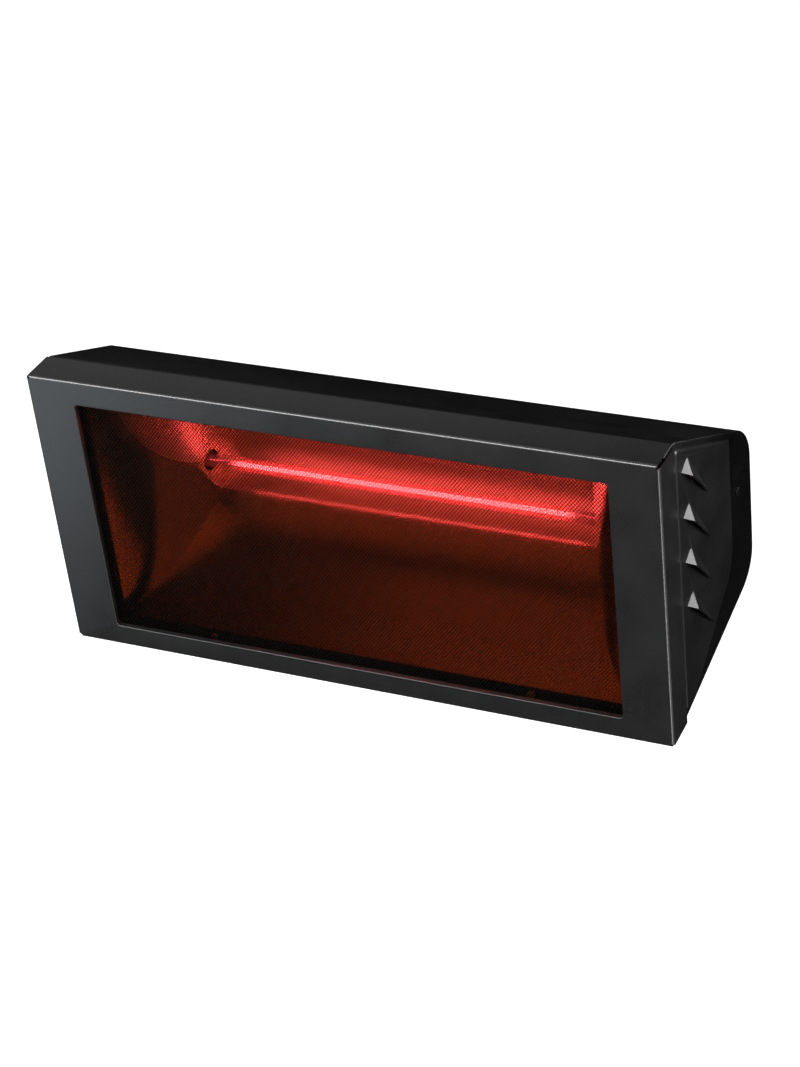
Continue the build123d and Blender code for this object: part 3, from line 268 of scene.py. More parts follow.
# A dim card above the front is what the reflector's lower sheet mirrors through the glass. It is
# nearly black on the left and has soft streaks. Two black ones lie on the floor, left and right.
SHADE_HEIGHT = 0.80
SHADE_FRONT = -1.0
SHADE_RAMP = (-0.60, -0.38)
SHADE_LEVELS = (0.02, 1.25)
STREAK_STRETCH = (1.0, 0.35, 1.0)
STREAK_SCALE = 7.0
STREAK_LEVELS = (0.35, 1.6)
NOISE_SPAN = (0.3, 0.7)
LEFT_CARD_RIGHT = -0.2
LEFT_CARD_BACK = -0.25
FAR_CARD_LEFT = 0.66
card_shade, tree, output = blank_material("card_shade")
where = on_object(tree)
across = add(tree, "ShaderNodeSeparateXYZ", {0: where}).outputs["X"]
ramp = mapped(tree, across, SHADE_RAMP, SHADE_LEVELS, interpolation_type="SMOOTHSTEP")
stretched = add(tree, "ShaderNodeVectorMath", {0: where, 1: STREAK_STRETCH}, operation="MULTIPLY")
streaks = noise(tree, stretched.outputs[0], STREAK_SCALE, detail=2.0)
level = calculated(tree, "MULTIPLY", ramp, mapped(tree, streaks, NOISE_SPAN, STREAK_LEVELS))
glow = add(tree, "ShaderNodeEmission", {"Strength": level})
tree.links.new(glow.outputs[0], output.inputs["Surface"])
above = level_corners(-CARD_HALF, CARD_HALF, SHADE_FRONT, CARD_BACK, SHADE_HEIGHT)
mirror_card("top_card", above, card_shade, through_glass=True)
left = level_corners(-CARD_HALF, LEFT_CARD_RIGHT, CARD_FRONT, LEFT_CARD_BACK, CARD_BOTTOM)
mirror_card("left_card", left, card_black, through_glass=True)
far = level_corners(FAR_CARD_LEFT, CARD_HALF, CARD_FRONT, CARD_BACK, CARD_BOTTOM)
mirror_card("far_card", far, card_black, through_glass=True)


# ---- Front bezel ----
# One sheet of 1.2 mm steel in satin graphite powder coat, with a lip folded in at the window and
# a flange folded back on each side. The flanges meet in open seams at the corners, and six
# pillars welded behind the face take the screws of the clips.
MM = 0.001
bezel_low, bezel_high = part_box("front_bezel")
lamp_low, lamp_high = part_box("lamp_tube")
guard_low, guard_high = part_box("mesh_guard")
FRONT_Y = bezel_low.y
LAMP_Z = (lamp_low.z + lamp_high.z) / 2
HALF_WIDTH = bezel_high.x / MM
HALF_HEIGHT = (bezel_high.z - LAMP_Z) / MM
BEZEL_DEPTH = (bezel_high.y - bezel_low.y) / MM
SHEET = 1.2
FOLD_RADIUS = 2.0
FOLD_STEPS = 6
EDGE_BREAK = 0.3
SEAM_GAP = 1.5
SEAM_SIDES = 6
WINDOW_HALF = (190.3, 90.7)
WINDOW_DROP = 1.05
WINDOW_CORNER = 2.5
LIP_DEPTH = (guard_low.y - bezel_low.y) / MM
LIP_RADIUS = 0.4
LIP_LAND = 0.8
LIP_BREAK = 0.2
SMOOTH_BELOW = math.radians(28)
SAME_POINT = 1e-6
SAME_POINT_FLAT = 1e-5
PILLAR_X = 209.0
PILLAR_HEIGHTS = (-62.0, 0.0, 62.0)
PILLAR_RADII = (4.5, 1.6)
PILLAR_SIDES = 24
PILLAR_END = (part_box("glass_clips")[0].y - bezel_low.y) / MM
BEZEL_COLOUR = (0.0115, 0.0115, 0.0117, 1)


def place(x, depth, height):
    """A point from millimetres right of the middle, behind the front face and above the lamp."""
    return Vector((x * MM, FRONT_Y + depth * MM, LAMP_Z + height * MM))


def rounded_loop(corners, radii, steps):
    """A closed outline through corners, each rounded by its own radius with an arc of short runs."""
    loop = []
    for index, (corner, radius) in enumerate(zip(corners, radii)):
        here = Vector(corner)
        before = (Vector(corners[index - 1]) - here).normalized()
        after = (Vector(corners[(index + 1) % len(corners)]) - here).normalized()
        if radius <= 0:
            loop.append(here)
            continue
        half_angle = before.angle(after) / 2
        centre = here + (before + after).normalized() * (radius / math.sin(half_angle))
        start = here + before * (radius / math.tan(half_angle)) - centre
        end = here + after * (radius / math.tan(half_angle)) - centre
        sweep = start.angle_signed(end)
        for step in range(steps + 1):
            turned = start.copy()
            turned.rotate(Matrix.Rotation(-sweep * step / steps, 2))
            loop.append(centre + turned)
    return loop


def moved_in(loop, distance):
    """The same closed anticlockwise outline, moved inwards by a distance, with mitred corners."""
    moved = []
    for index, point in enumerate(loop):
        before = (point - loop[index - 1]).normalized()
        after = (loop[(index + 1) % len(loop)] - point).normalized()
        normals = [Vector((-edge.y, edge.x)) for edge in (before, after)]
        middle = normals[0] + normals[1]
        moved.append(point + middle * (distance / (1 + normals[0].dot(normals[1]))))
    return moved


def encloses(loop, point):
    """Whether a closed 2D outline goes round a point."""
    inside = False
    for start, end in zip(loop, loop[1:] + loop[:1]):
        if (start.y > point.y) != (end.y > point.y):
            if point.x < start.x + (point.y - start.y) * (end.x - start.x) / (end.y - start.y):
                inside = not inside
    return inside


def fill_between(mesh, border, holes):
    """Flat faces between a border and its holes, each a loop of (2D point, vertex)."""
    flat, verts, edges = [], [], []
    for loop in (border, *holes):
        start = len(flat)
        flat += [point for point, _ in loop]
        verts += verts_of(loop)
        edges += [(start + i, start + (i + 1) % len(loop)) for i in range(len(loop))]
    _, _, triangles, origins, _, _ = delaunay_2d_cdt(flat, edges, [], 1, SAME_POINT_FLAT)
    openings = [[point for point, _ in hole] for hole in holes]
    for triangle in triangles:
        corners = [origins[corner][0] for corner in triangle]
        middle = sum((flat[corner] for corner in corners), Vector((0, 0))) / len(corners)
        if not any(encloses(opening, middle) for opening in openings):
            mesh.faces.new([verts[corner] for corner in corners])


def verts_of(loop):
    """The vertices of a loop of (2D point, vertex)."""
    return [vertex for _, vertex in loop]


def bridge(mesh, near, far, closed=True):
    """Quads between two rows of vertices of the same length."""
    count = len(near)
    runs = range(count) if closed else range(count - 1)
    for i in runs:
        mesh.faces.new((near[i], near[(i + 1) % count], far[(i + 1) % count], far[i]))


def finished(mesh, name, material, body, replaced=()):
    """Turns an edited mesh into a piece: normals outwards, soft shading within a fold, on its body."""
    bmesh.ops.remove_doubles(mesh, verts=mesh.verts, dist=SAME_POINT)
    bmesh.ops.recalc_face_normals(mesh, faces=mesh.faces)
    for face in mesh.faces:
        face.smooth = True
    for edge in mesh.edges:
        edge.smooth = len(edge.link_faces) == 2 and edge.calc_face_angle(0) < SMOOTH_BELOW
    data = bpy.data.meshes.new(name)
    mesh.to_mesh(data)
    mesh.free()
    data.materials.append(material)
    piece = bpy.data.objects.new(name, data)
    bpy.context.scene.collection.objects.link(piece)
    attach(piece, body)
    if replaced:
        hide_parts(*replaced)
    return piece


def window_loop(halves, corner):
    """A rounded rectangle round the window's middle, anticlockwise as seen from in front."""
    wide, high = halves
    corners = [(-wide, -high), (wide, -high), (wide, high), (-wide, high)]
    loop = rounded_loop(corners, [corner] * 4, FOLD_STEPS)
    return [Vector((point.x, point.y - WINDOW_DROP)) for point in loop]


def grown_window(grow):
    """The window's outline, grown on every side."""
    return window_loop([half + grow for half in WINDOW_HALF], WINDOW_CORNER + grow)


def all_round(count):
    """The angles of points that stand evenly round a circle."""
    return [2 * math.pi * step / count for step in range(count)]


def tube_ring(mesh, x, depths, height, radii):
    """A short tube along the depth, such as a pillar, from its outer and inner radius."""
    rings = []
    near, far = depths
    outer, inner = radii
    for radius, depth in ((outer, near), (outer, far), (inner, far), (inner, near)):
        turns = all_round(PILLAR_SIDES)
        spots = [(x + radius * math.cos(a), height + radius * math.sin(a)) for a in turns]
        rings.append([mesh.verts.new(place(spot_x, depth, spot_z)) for spot_x, spot_z in spots])
    for ring, following in zip(rings, rings[1:] + rings[:1]):
        bridge(mesh, ring, following)


def bezel_mesh():
    """The bezel's sheet: face, window lip, four folds with their flanges, and the pillars."""
    mesh = bmesh.new()
    edge_x, edge_z = HALF_WIDTH - FOLD_RADIUS, HALF_HEIGHT - FOLD_RADIUS
    turns = [math.pi / 2 * step / FOLD_STEPS for step in range(FOLD_STEPS + 1)]

    def profile(radius):
        """Depth and reach beyond the face's edge, from the face to the flange's end."""
        points = [(FOLD_RADIUS - radius * math.cos(a), radius * math.sin(a)) for a in turns]
        last = radius - EDGE_BREAK if radius == FOLD_RADIUS else radius + EDGE_BREAK
        return points + [(BEZEL_DEPTH - EDGE_BREAK, radius), (BEZEL_DEPTH, last)]

    corner_verts = {}
    for radius, skin in ((FOLD_RADIUS, "outer"), (FOLD_RADIUS - SHEET, "inner")):
        depth = FOLD_RADIUS - radius
        corner_verts[skin] = [
            mesh.verts.new(place(x, depth, z))
            for x, z in ((-edge_x, -edge_z), (edge_x, -edge_z), (edge_x, edge_z), (-edge_x, edge_z))
        ]
    strip_ends = {"outer": [], "inner": []}
    for side in range(4):
        along_x = side % 2 == 0
        sign = (-1, 1, 1, -1)[side]
        span = edge_x if along_x else edge_z
        edge = edge_z if along_x else edge_x
        rows = {}
        for radius, skin in ((FOLD_RADIUS, "outer"), (FOLD_RADIUS - SHEET, "inner")):
            rows[skin] = []
            for depth, reach in profile(radius):
                ends = []
                for end in (-1, 1):
                    along = end * (span + max(0.0, reach) - SEAM_GAP)
                    across = sign * (edge + reach)
                    x, z = (along, across) if along_x else (across, along)
                    ends.append(mesh.verts.new(place(x, depth, z)))
                rows[skin].append(ends)
            for near, far in zip(rows[skin], rows[skin][1:]):
                mesh.faces.new((near[0], near[1], far[1], far[0]))
            strip_ends[skin].append(rows[skin][0])
        mesh.faces.new(rows["outer"][-1] + rows["inner"][-1][::-1])
        for end in (0, 1):
            outer = [row[end] for row in rows["outer"]]
            inner = [row[end] for row in rows["inner"]]
            bridge(mesh, outer, inner, closed=False)
    lip = [(LIP_RADIUS + LIP_LAND, 0)]
    lip += [(LIP_RADIUS * (1 - math.sin(a)), LIP_RADIUS * (1 - math.cos(a))) for a in turns]
    lip += [(0, LIP_DEPTH - LIP_BREAK), (LIP_BREAK, LIP_DEPTH), (SHEET, LIP_DEPTH), (SHEET, SHEET)]
    lip_rows = []
    for grow, depth in lip:
        loop = grown_window(grow)
        lip_rows.append([(point, mesh.verts.new(place(point.x, depth, point.y))) for point in loop])
    for near, far in zip(lip_rows, lip_rows[1:]):
        bridge(mesh, verts_of(near), verts_of(far))
    for skin, hole in (("outer", lip_rows[0]), ("inner", lip_rows[-1])):
        border = []
        for side in range(4):
            ends = strip_ends[skin][side]
            if side in (2, 3):
                ends = ends[::-1]
            border += [corner_verts[skin][side], ends[0], ends[1]]
        border = [(Vector((v.co.x / MM, (v.co.z - LAMP_Z) / MM)), v) for v in border]
        fill_between(mesh, border, [hole])
    loose = [edge for edge in mesh.edges if len(edge.link_faces) == 1]
    bmesh.ops.holes_fill(mesh, edges=loose, sides=SEAM_SIDES)
    for side in (-1, 1):
        for height in PILLAR_HEIGHTS:
            tube_ring(mesh, side * PILLAR_X, (SHEET, PILLAR_END), height, PILLAR_RADII)
    return mesh


def shader_group(name, inputs, outputs):
    """An empty group for an effect that several finishes share, with its given and result sockets."""
    group = bpy.data.node_groups.new(name, "ShaderNodeTree")
    kinds = {"vector": "NodeSocketVector", "number": "NodeSocketFloat"}
    for socket, kind in inputs:
        group.interface.new_socket(socket, in_out="INPUT", socket_type=kinds[kind])
    for socket, kind in outputs:
        group.interface.new_socket(socket, in_out="OUTPUT", socket_type=kinds[kind])
    return group, add(group, "NodeGroupInput").outputs, add(group, "NodeGroupOutput").inputs


def filled(tree, group, inputs):
    """A shared effect placed in a material with that material's own values. Returns its results."""
    return add(tree, "ShaderNodeGroup", inputs, node_tree=group).outputs


def blended(tree, share, first, second, **settings):
    """A colour between two others."""
    shares = {0: share, 6: first, 7: second}
    return add(tree, "ShaderNodeMix", shares, data_type="RGBA", **settings).outputs[2]


def shaded(colour, share):
    """A colour at a share of its brightness."""
    return tuple(channel * share for channel in colour[:3]) + (1,)


def bumped(tree, height, distance):
    """A normal that follows a height over the surface."""
    return add(tree, "ShaderNodeBump", {"Height": height, "Distance": distance}).outputs[0]


def surfaced(tree, output, inputs):
    """Ends a material in one shader with these inputs."""
    shader = add(tree, "ShaderNodeBsdfPrincipled", inputs)
    tree.links.new(shader.outputs[0], output.inputs["Surface"])


# Powder coat: fine flow texture in its height, and slow drifts in its gloss and tone.
powder_grain, given, result = shader_group(
    "powder_grain",
    [("Position", "vector"), ("Grain", "number"), ("Drift", "number")],
    [("Height", "number"), ("Drift", "number")],
)
fine = noise(powder_grain, given["Position"], given["Grain"], detail=3.0, roughness=0.55)
slow = noise(powder_grain, given["Position"], given["Drift"], detail=4.0, roughness=0.6)
powder_grain.links.new(fine, result["Height"])
powder_grain.links.new(slow, result["Drift"])

# Edge rub: a mask that is 1 on folds and sheet edges, broken up by a noise.
FOLD_MATCH = (0.97, 0.75)
CHIP_SPAN = (0.34, 0.56)
RUB_SAMPLES = 6
edge_rub, given, result = shader_group(
    "edge_rub",
    [("Position", "vector"), ("Width", "number"), ("Break up", "number")],
    [("Mask", "number")],
)
rounded = add(edge_rub, "ShaderNodeBevel", {"Radius": given["Width"]}, samples=RUB_SAMPLES).outputs[0]
facet = add(edge_rub, "ShaderNodeNewGeometry").outputs["Normal"]
match = add(edge_rub, "ShaderNodeVectorMath", {0: rounded, 1: facet}, operation="DOT_PRODUCT")
turned = mapped(edge_rub, match.outputs["Value"], FOLD_MATCH)
chips = noise(edge_rub, given["Position"], given["Break up"], detail=5.0, roughness=0.65)
worn = mapped(edge_rub, chips, CHIP_SPAN)
edge_rub.links.new(calculated(edge_rub, "MULTIPLY", turned, worn), result["Mask"])

# Settled dust: thin, on what faces up, in soft patches.
FACES_UP = (0.3, 1.0)
DUST_PATCHES = 34.0
settled_dust, given, result = shader_group(
    "settled_dust",
    [("Position", "vector"), ("Amount", "number")],
    [("Mask", "number")],
)
facet = add(settled_dust, "ShaderNodeNewGeometry").outputs["Normal"]
upward = add(settled_dust, "ShaderNodeSeparateXYZ", {0: facet}).outputs["Z"]
patches = noise(settled_dust, given["Position"], DUST_PATCHES, detail=6.0, roughness=0.7)
thin = calculated(settled_dust, "MULTIPLY", mapped(settled_dust, upward, FACES_UP), patches)
settled_dust.links.new(calculated(settled_dust, "MULTIPLY", thin, given["Amount"]), result["Mask"])

COAT_DRIFT = 26.0
COAT_TONES = (0.92, 1.08)
COAT_SMOOTHEST = -0.03
COAT_ROUGHEST = 0.04
RUB_WIDTH = 0.0007
RUB_CHIPS = 420.0
RUBBED_STEEL = (0.16, 0.165, 0.17, 1)
DUST_AMOUNT = 0.003
DUST_COLOUR = (0.32, 0.31, 0.29, 1)


def coated_steel(name, colour, gloss, specular, grain, grain_height, rub, border=0.0):
    """Powder-coated steel: a dark coat with a fine texture, rubbed thin on its folds and edges.
    Where a piece carries a border value, the coat is smoother there by this much."""
    material, tree, output = blank_material(name)
    where = on_object(tree)
    coat = filled(tree, powder_grain, {"Position": where, "Grain": grain, "Drift": COAT_DRIFT})
    rubbed = filled(tree, edge_rub, {"Position": where, "Width": RUB_WIDTH, "Break up": RUB_CHIPS})
    dust = filled(tree, settled_dust, {"Position": where, "Amount": DUST_AMOUNT})
    tone = mapped(tree, coat["Drift"], NOISE_SPAN, COAT_TONES)
    grey = add(tree, "ShaderNodeCombineColor", {0: tone, 1: tone, 2: tone}).outputs[0]
    body = blended(tree, 1.0, colour, grey, blend_type="MULTIPLY")
    body = blended(tree, calculated(tree, "MULTIPLY", rubbed["Mask"], rub), body, RUBBED_STEEL)
    body = blended(tree, dust["Mask"], body, DUST_COLOUR)
    roughness = mapped(tree, coat["Drift"], NOISE_SPAN, (gloss + COAT_SMOOTHEST, gloss + COAT_ROUGHEST))
    if border:
        near_rim = add(tree, "ShaderNodeAttribute", attribute_name="border").outputs["Fac"]
        smoother = calculated(tree, "MULTIPLY", near_rim, border)
        roughness = calculated(tree, "SUBTRACT", roughness, smoother)
    surfaced(tree, output, {
        "Base Color": body, "Roughness": roughness, "Specular IOR Level": specular,
        "Normal": bumped(tree, coat["Height"], grain_height)})
    return material


graphite_coat = coated_steel(
    "graphite_coat", BEZEL_COLOUR, gloss=0.29, specular=0.42, grain=900.0, grain_height=0.00002, rub=0.1)
finished(bezel_mesh(), "bezel_frame", graphite_coat, "heater", ["front_bezel"])


# ---- Mesh guard ----
# Two layers of thin round wire, crossed in steep diamonds and welded, in a flat steel rim. The
# bezel's lip presses the rim on the gasket. The wires are blackened.
WIRE_PITCH = 1.89
WIRE_THICK = 0.50
WIRE_SINK = 0.55
WIRE_SIDES = 6
WIRE_SLOPE = math.radians(51.4)
WIRE_COLOUR = (0.004, 0.0035, 0.003, 1)
WIRE_PALEST = 1.5
WIRE_HAZE = 0.15
RIM_HALF = (202.0, 101.0)
RIM_CORNER = 5.0
RIM_INSET = 1.5
GUARD_DEPTH = (guard_low.y - FRONT_Y) / MM
GUARD_THICK = (guard_high.y - guard_low.y) / MM


def wire_tree(name, *sizes):
    """An empty geometry tree with these sizes and a finish as its inputs, and what it is given."""
    tree = bpy.data.node_groups.new(name, "GeometryNodeTree")
    for socket in sizes:
        tree.interface.new_socket(socket, in_out="INPUT", socket_type="NodeSocketFloat")
    tree.interface.new_socket("Finish", in_out="INPUT", socket_type="NodeSocketMaterial")
    tree.interface.new_socket("Geometry", in_out="OUTPUT", socket_type="NodeSocketGeometry")
    return tree, add(tree, "NodeGroupInput").outputs


def end_tree(tree, shape, finish):
    """Ends a geometry tree: the shape is made real and takes its finish."""
    loose = add(tree, "GeometryNodeRealizeInstances", {"Geometry": shape})
    painted = add(tree, "GeometryNodeSetMaterial", {"Geometry": loose.outputs[0], "Material": finish})
    tree.links.new(painted.outputs[0], add(tree, "NodeGroupOutput").inputs["Geometry"])


def wire_layer_tree():
    """Parallel wires on a slope, each as long as the window lets it be."""
    tree, given = wire_tree("wire_layer", "Width", "Height", "Pitch", "Thickness", "Slope", "Slant")

    def worked(operation, first, second=0.0):
        return calculated(tree, operation, first, second)

    along = worked("COSINE", given["Slope"])
    steep = worked("SINE", given["Slope"])
    wide = worked("MULTIPLY", given["Width"], steep)
    high = worked("MULTIPLY", given["Height"], along)
    count = worked("FLOOR", worked("DIVIDE", worked("ADD", wide, high), given["Pitch"]))
    row = add(tree, "GeometryNodeMeshLine", {"Count": count, "Offset": (0, 0, 0)})
    number = add(tree, "GeometryNodeInputIndex").outputs[0]
    middle = worked("DIVIDE", worked("SUBTRACT", count, 1.0), 2.0)
    shift = worked("MULTIPLY", worked("SUBTRACT", number, middle), given["Pitch"])
    shift_x = worked("MULTIPLY", shift, steep)
    shift_z = worked("MULTIPLY", worked("MULTIPLY", shift, along), -1.0)
    ends = []
    for size, moved, share in ((given["Width"], shift_x, along), (given["Height"], shift_z, steep)):
        half = worked("DIVIDE", size, 2.0)
        low = worked("SUBTRACT", worked("MULTIPLY", half, -1.0), moved)
        high = worked("SUBTRACT", half, moved)
        ends.append([worked("DIVIDE", limit, share) for limit in (low, high)])
    start = worked("MAXIMUM", ends[0][0], ends[1][0])
    end = worked("MINIMUM", ends[0][1], ends[1][1])
    centre = worked("DIVIDE", worked("ADD", start, end), 2.0)
    across = worked("ADD", shift_x, worked("MULTIPLY", centre, along))
    upward = worked("ADD", shift_z, worked("MULTIPLY", centre, steep))
    across = worked("MULTIPLY", across, given["Slant"])
    spot = add(tree, "ShaderNodeCombineXYZ", {"X": across, "Z": upward}).outputs[0]
    placed = add(tree, "GeometryNodeSetPosition", {"Geometry": row.outputs["Mesh"], "Position": spot})
    thin = worked("DIVIDE", given["Thickness"], 2.0)
    wire = add(tree, "GeometryNodeMeshCylinder", {"Vertices": WIRE_SIDES, "Radius": thin, "Depth": 1.0})
    lean = worked("SUBTRACT", math.pi / 2, given["Slope"])
    tilt = add(tree, "ShaderNodeCombineXYZ", {"Y": worked("MULTIPLY", given["Slant"], lean)})
    size = add(tree, "ShaderNodeCombineXYZ", {"X": 1.0, "Y": 1.0, "Z": worked("SUBTRACT", end, start)})
    wires = add(tree, "GeometryNodeInstanceOnPoints", {
        "Points": placed.outputs[0], "Instance": wire.outputs["Mesh"],
        "Rotation": tilt.outputs[0], "Scale": size.outputs[0]})
    end_tree(tree, wires.outputs[0], given["Finish"])
    return tree


def grown(tree, values):
    """The plain mesh that a geometry tree makes from its named inputs, at the origin."""
    holder = bpy.data.objects.new("holder", bpy.data.meshes.new("holder"))
    bpy.context.scene.collection.objects.link(holder)
    maker = holder.modifiers.new("maker", "NODES")
    maker.node_group = tree
    for item in tree.interface.items_tree:
        if item.in_out == "INPUT":
            maker[item.identifier] = values[item.name]
    bpy.context.view_layer.update()
    evaluated = holder.evaluated_get(bpy.context.evaluated_depsgraph_get())
    mesh = bpy.data.meshes.new_from_object(evaluated)
    bpy.data.objects.remove(holder)
    return mesh


def bare_wire(name, colour, gloss):
    """Plain drawn wire or blackened sheet: dark metal with a slight uneven tone."""
    material, tree, output = blank_material(name)
    uneven = noise(tree, on_object(tree), scale=55.0, detail=5.0)
    tone = blended(tree, uneven, colour, shaded(colour, WIRE_PALEST))
    rough = mapped(tree, uneven, (0.0, 1.0), (gloss, gloss + WIRE_HAZE))
    surfaced(tree, output, {"Base Color": tone, "Roughness": rough, "Metallic": 1.0})
    return material


black_wire = bare_wire("black_wire", WIRE_COLOUR, gloss=0.5)
layer_tree = wire_layer_tree()
guard = bmesh.new()
for slant, depth in ((1.0, WIRE_THICK * WIRE_SINK), (-1.0, GUARD_THICK - WIRE_THICK * WIRE_SINK)):
    layer = grown(layer_tree, {
        "Width": 2 * (WINDOW_HALF[0] + RIM_INSET), "Height": 2 * (WINDOW_HALF[1] + RIM_INSET),
        "Pitch": WIRE_PITCH, "Thickness": WIRE_THICK, "Slope": WIRE_SLOPE, "Slant": slant,
        "Finish": black_wire})
    middle = place(0, GUARD_DEPTH + depth, -WINDOW_DROP)
    layer.transform(Matrix.Translation(middle) @ Matrix.Scale(MM, 4))
    guard.from_mesh(layer)
rim = window_loop(RIM_HALF, RIM_CORNER)
for depth in (0, GUARD_THICK):
    hole, edge = ([(point, guard.verts.new(place(point.x, GUARD_DEPTH + depth, point.y)))
                   for point in loop] for loop in (grown_window(RIM_INSET), rim))
    fill_between(guard, edge, [hole])
    if depth:
        bridge(guard, verts_of(hole), front_hole)
        bridge(guard, verts_of(edge), front_edge)
    front_hole, front_edge = verts_of(hole), verts_of(edge)
finished(guard, "mesh_screen", black_wire, "heater", ["mesh_guard"])


# ---- Glass pane, gasket and clips ----
# A pane of dark amber glass-ceramic, 4 mm thick, bedded on a flat gasket of dark fibre. Six spring
# steel clips press it forwards, each with one pan-head screw.
GLASS_TINT = (0.55, 0.19, 0.066, 1)
GLASS_IOR = 1.05
MOULD_DRIFT = 60.0
MOULD_HAZE = 0.05
MOULD_DARKEST = 0.8
amber_glass, tree, output = blank_material("amber_glass")
surfaced(tree, output, {
    "Base Color": GLASS_TINT, "Roughness": 0.0, "IOR": GLASS_IOR, "Transmission Weight": 1.0})


def refinish(slot, material, *names):
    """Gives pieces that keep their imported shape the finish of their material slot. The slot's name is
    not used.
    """
    for name in names:
        piece = nodes[name]
        piece.data.materials.clear()
        piece.data.materials.append(material)


refinish("tinted_glass", amber_glass, "glass_pane")


def moulded(name, colour, gloss, grain, grain_height, specular=0.4):
    """Fired ceramic, fibre, rubber or moulded plastic, with fine grain and faint mottling."""
    material, tree, output = blank_material(name)
    where = on_object(tree)
    coat = filled(tree, powder_grain, {"Position": where, "Grain": grain, "Drift": MOULD_DRIFT})
    surfaced(tree, output, {
        "Base Color": blended(tree, coat["Drift"], shaded(colour, MOULD_DARKEST), colour),
        "Roughness": mapped(tree, coat["Drift"], (0.0, 1.0), (gloss - MOULD_HAZE, gloss + MOULD_HAZE)),
        "Specular IOR Level": specular, "Normal": bumped(tree, coat["Height"], grain_height)})
    return material


# Drawn metal: fine lines along one axis, faint stains, for sheet, wire and turned parts.
STAIN_SCALE = 38.0
drawn_lines, given, result = shader_group(
    "drawn_lines",
    [("Position", "vector"), ("Stretch", "vector"), ("Lines", "number")],
    [("Height", "number"), ("Stain", "number")],
)
pulled = add(drawn_lines, "ShaderNodeVectorMath", {0: given["Position"], 1: given["Stretch"]},
             operation="MULTIPLY").outputs[0]
drawn = noise(drawn_lines, pulled, given["Lines"], detail=4.0, roughness=0.6)
stains = noise(drawn_lines, given["Position"], STAIN_SCALE, detail=6.0, roughness=0.65)
drawn_lines.links.new(drawn, result["Height"])
drawn_lines.links.new(stains, result["Stain"])
TURNED = (1.0, 1.0, 1.0)


def bright_metal(name, colour, gloss, stretch, lines, line_height, stain=0.85, haze=0.05, dulled=None):
    """Bare or plated metal with drawn or turned lines and faint darker stains. Heat may have dulled
    it round an axis along X: then dulled is the axis, the radius, the soft edge and the roughness."""
    material, tree, output = blank_material(name)
    where = on_object(tree)
    drawn = filled(tree, drawn_lines, {"Position": where, "Stretch": stretch, "Lines": lines})
    tone = blended(tree, drawn["Stain"], shaded(colour, stain), colour)
    roughness = mapped(tree, drawn["Stain"], NOISE_SPAN, (gloss + haze, gloss - haze))
    if dulled:
        axis, radius, edge, dull = dulled
        flat = add(tree, "ShaderNodeVectorMath", {0: where, 1: (0.0, 1.0, 1.0)}, operation="MULTIPLY")
        away = add(tree, "ShaderNodeVectorMath", {0: flat.outputs[0], 1: axis}, operation="DISTANCE")
        near = mapped(tree, away.outputs["Value"], (radius, radius - edge))
        roughness = add(tree, "ShaderNodeMix", {0: near, 2: roughness, 3: dull}).outputs[0]
    surfaced(tree, output, {
        "Base Color": tone, "Roughness": roughness, "Metallic": 1.0,
        "Normal": bumped(tree, drawn["Height"], line_height)})
    return material


dark_fibre = moulded(
    "dark_fibre", (0.030, 0.029, 0.028, 1), gloss=0.9, grain=1600.0, grain_height=0.0002, specular=0.2)
blued_steel = bright_metal(
    "blued_steel", (0.07, 0.073, 0.085, 1), gloss=0.35, stretch=(1.0, 1.0, 6.0), lines=300.0,
    line_height=0.00001)
zinc_plate = bright_metal(
    "zinc_plate", (0.66, 0.67, 0.66, 1), gloss=0.30, stretch=TURNED, lines=500.0, line_height=0.00001)
refinish("gasket_fibre", dark_fibre, "glass_gasket")
refinish("spring_steel", blued_steel, "glass_clips")
refinish("zinc_steel", zinc_plate, "glass_clip_screws", "reflector_screws", "lampholder_screws")


# ---- Body ----
# One sheet of 1.2 mm steel wrapped over the top, the back and the bottom, powder coated matt
# black. Four tabs at its front edges carry the reflector.
BODY_COLOUR = (0.0016, 0.0016, 0.0016, 1)
body_coat = coated_steel(
    "black_coat", BODY_COLOUR, gloss=0.35, specular=0.16, grain=1100.0, grain_height=0.00001, rub=0.05)
refinish("body_paint", body_coat, "body_shell")


# ---- Side panels ----
# Two plates of 1.2 mm steel, pressed with a raised field and four louvres that open down and
# forwards, with a return flange inside the body. They flare outwards towards the back.
PANEL_FRONT = (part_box("side_panel_right")[0].y - FRONT_Y) / MM
FLARE_START = 26.5
FLARE_SLOPE = 0.122
COLLAR_HALF_WIDTH = 223.5
PANEL_CORNERS = (
    (FLARE_START, -105.77), (136.0, -52.1), (136.0, 56.6), (30.0, 106.75), (FLARE_START, 106.75))
PANEL_RADII = (0, 31.0, 31.0, 3.0, 0)
PANEL_STEPS = 10
EDGE_RADIUS = 0.8
EDGE_STEPS = 4
FLANGE_INSET = 1.3
FACE_INSET = 2.3
FLANGE_END = 11.2
FIELD_CORNERS = ((28.0, -100.1), (42.0, -95.2), (105.0, -30.01), (105.0, 67.27), (28.0, 102.75))
FIELD_RADII = (3.0, 8.0, 42.0, 5.0, 3.0)
FIELD_STEP = ((0.0, 0.0), (0.4, 0.06), (1.1, 0.5), (1.8, 0.94), (2.2, 1.0), (2.8, 1.0))
LOUVRE_COUNT = 4
LOUVRE_FIRST = (9.0, 82.0)
LOUVRE_PITCH = 33.7
LOUVRE_CREST = Vector((5.8, -4.4, 6.0))
LOUVRE_TIP = Vector((9.7, 7.3, 0.0))
LOUVRE_END = Vector((36.6, -35.8, 0.0))
LOUVRE_ROWS = 6
LOUVRE_RUNS = (4, 6, 5)
CREST_EASE = 0.14
TIP_EASE = 0.08
LIP_TAIL = LOUVRE_RUNS[0] + LOUVRE_RUNS[1]
LOUVRE_FULLNESS = 0.65
LOUVRE_RISE = 0.8
BULGE = Vector((-0.3, 0.3, 0.0))
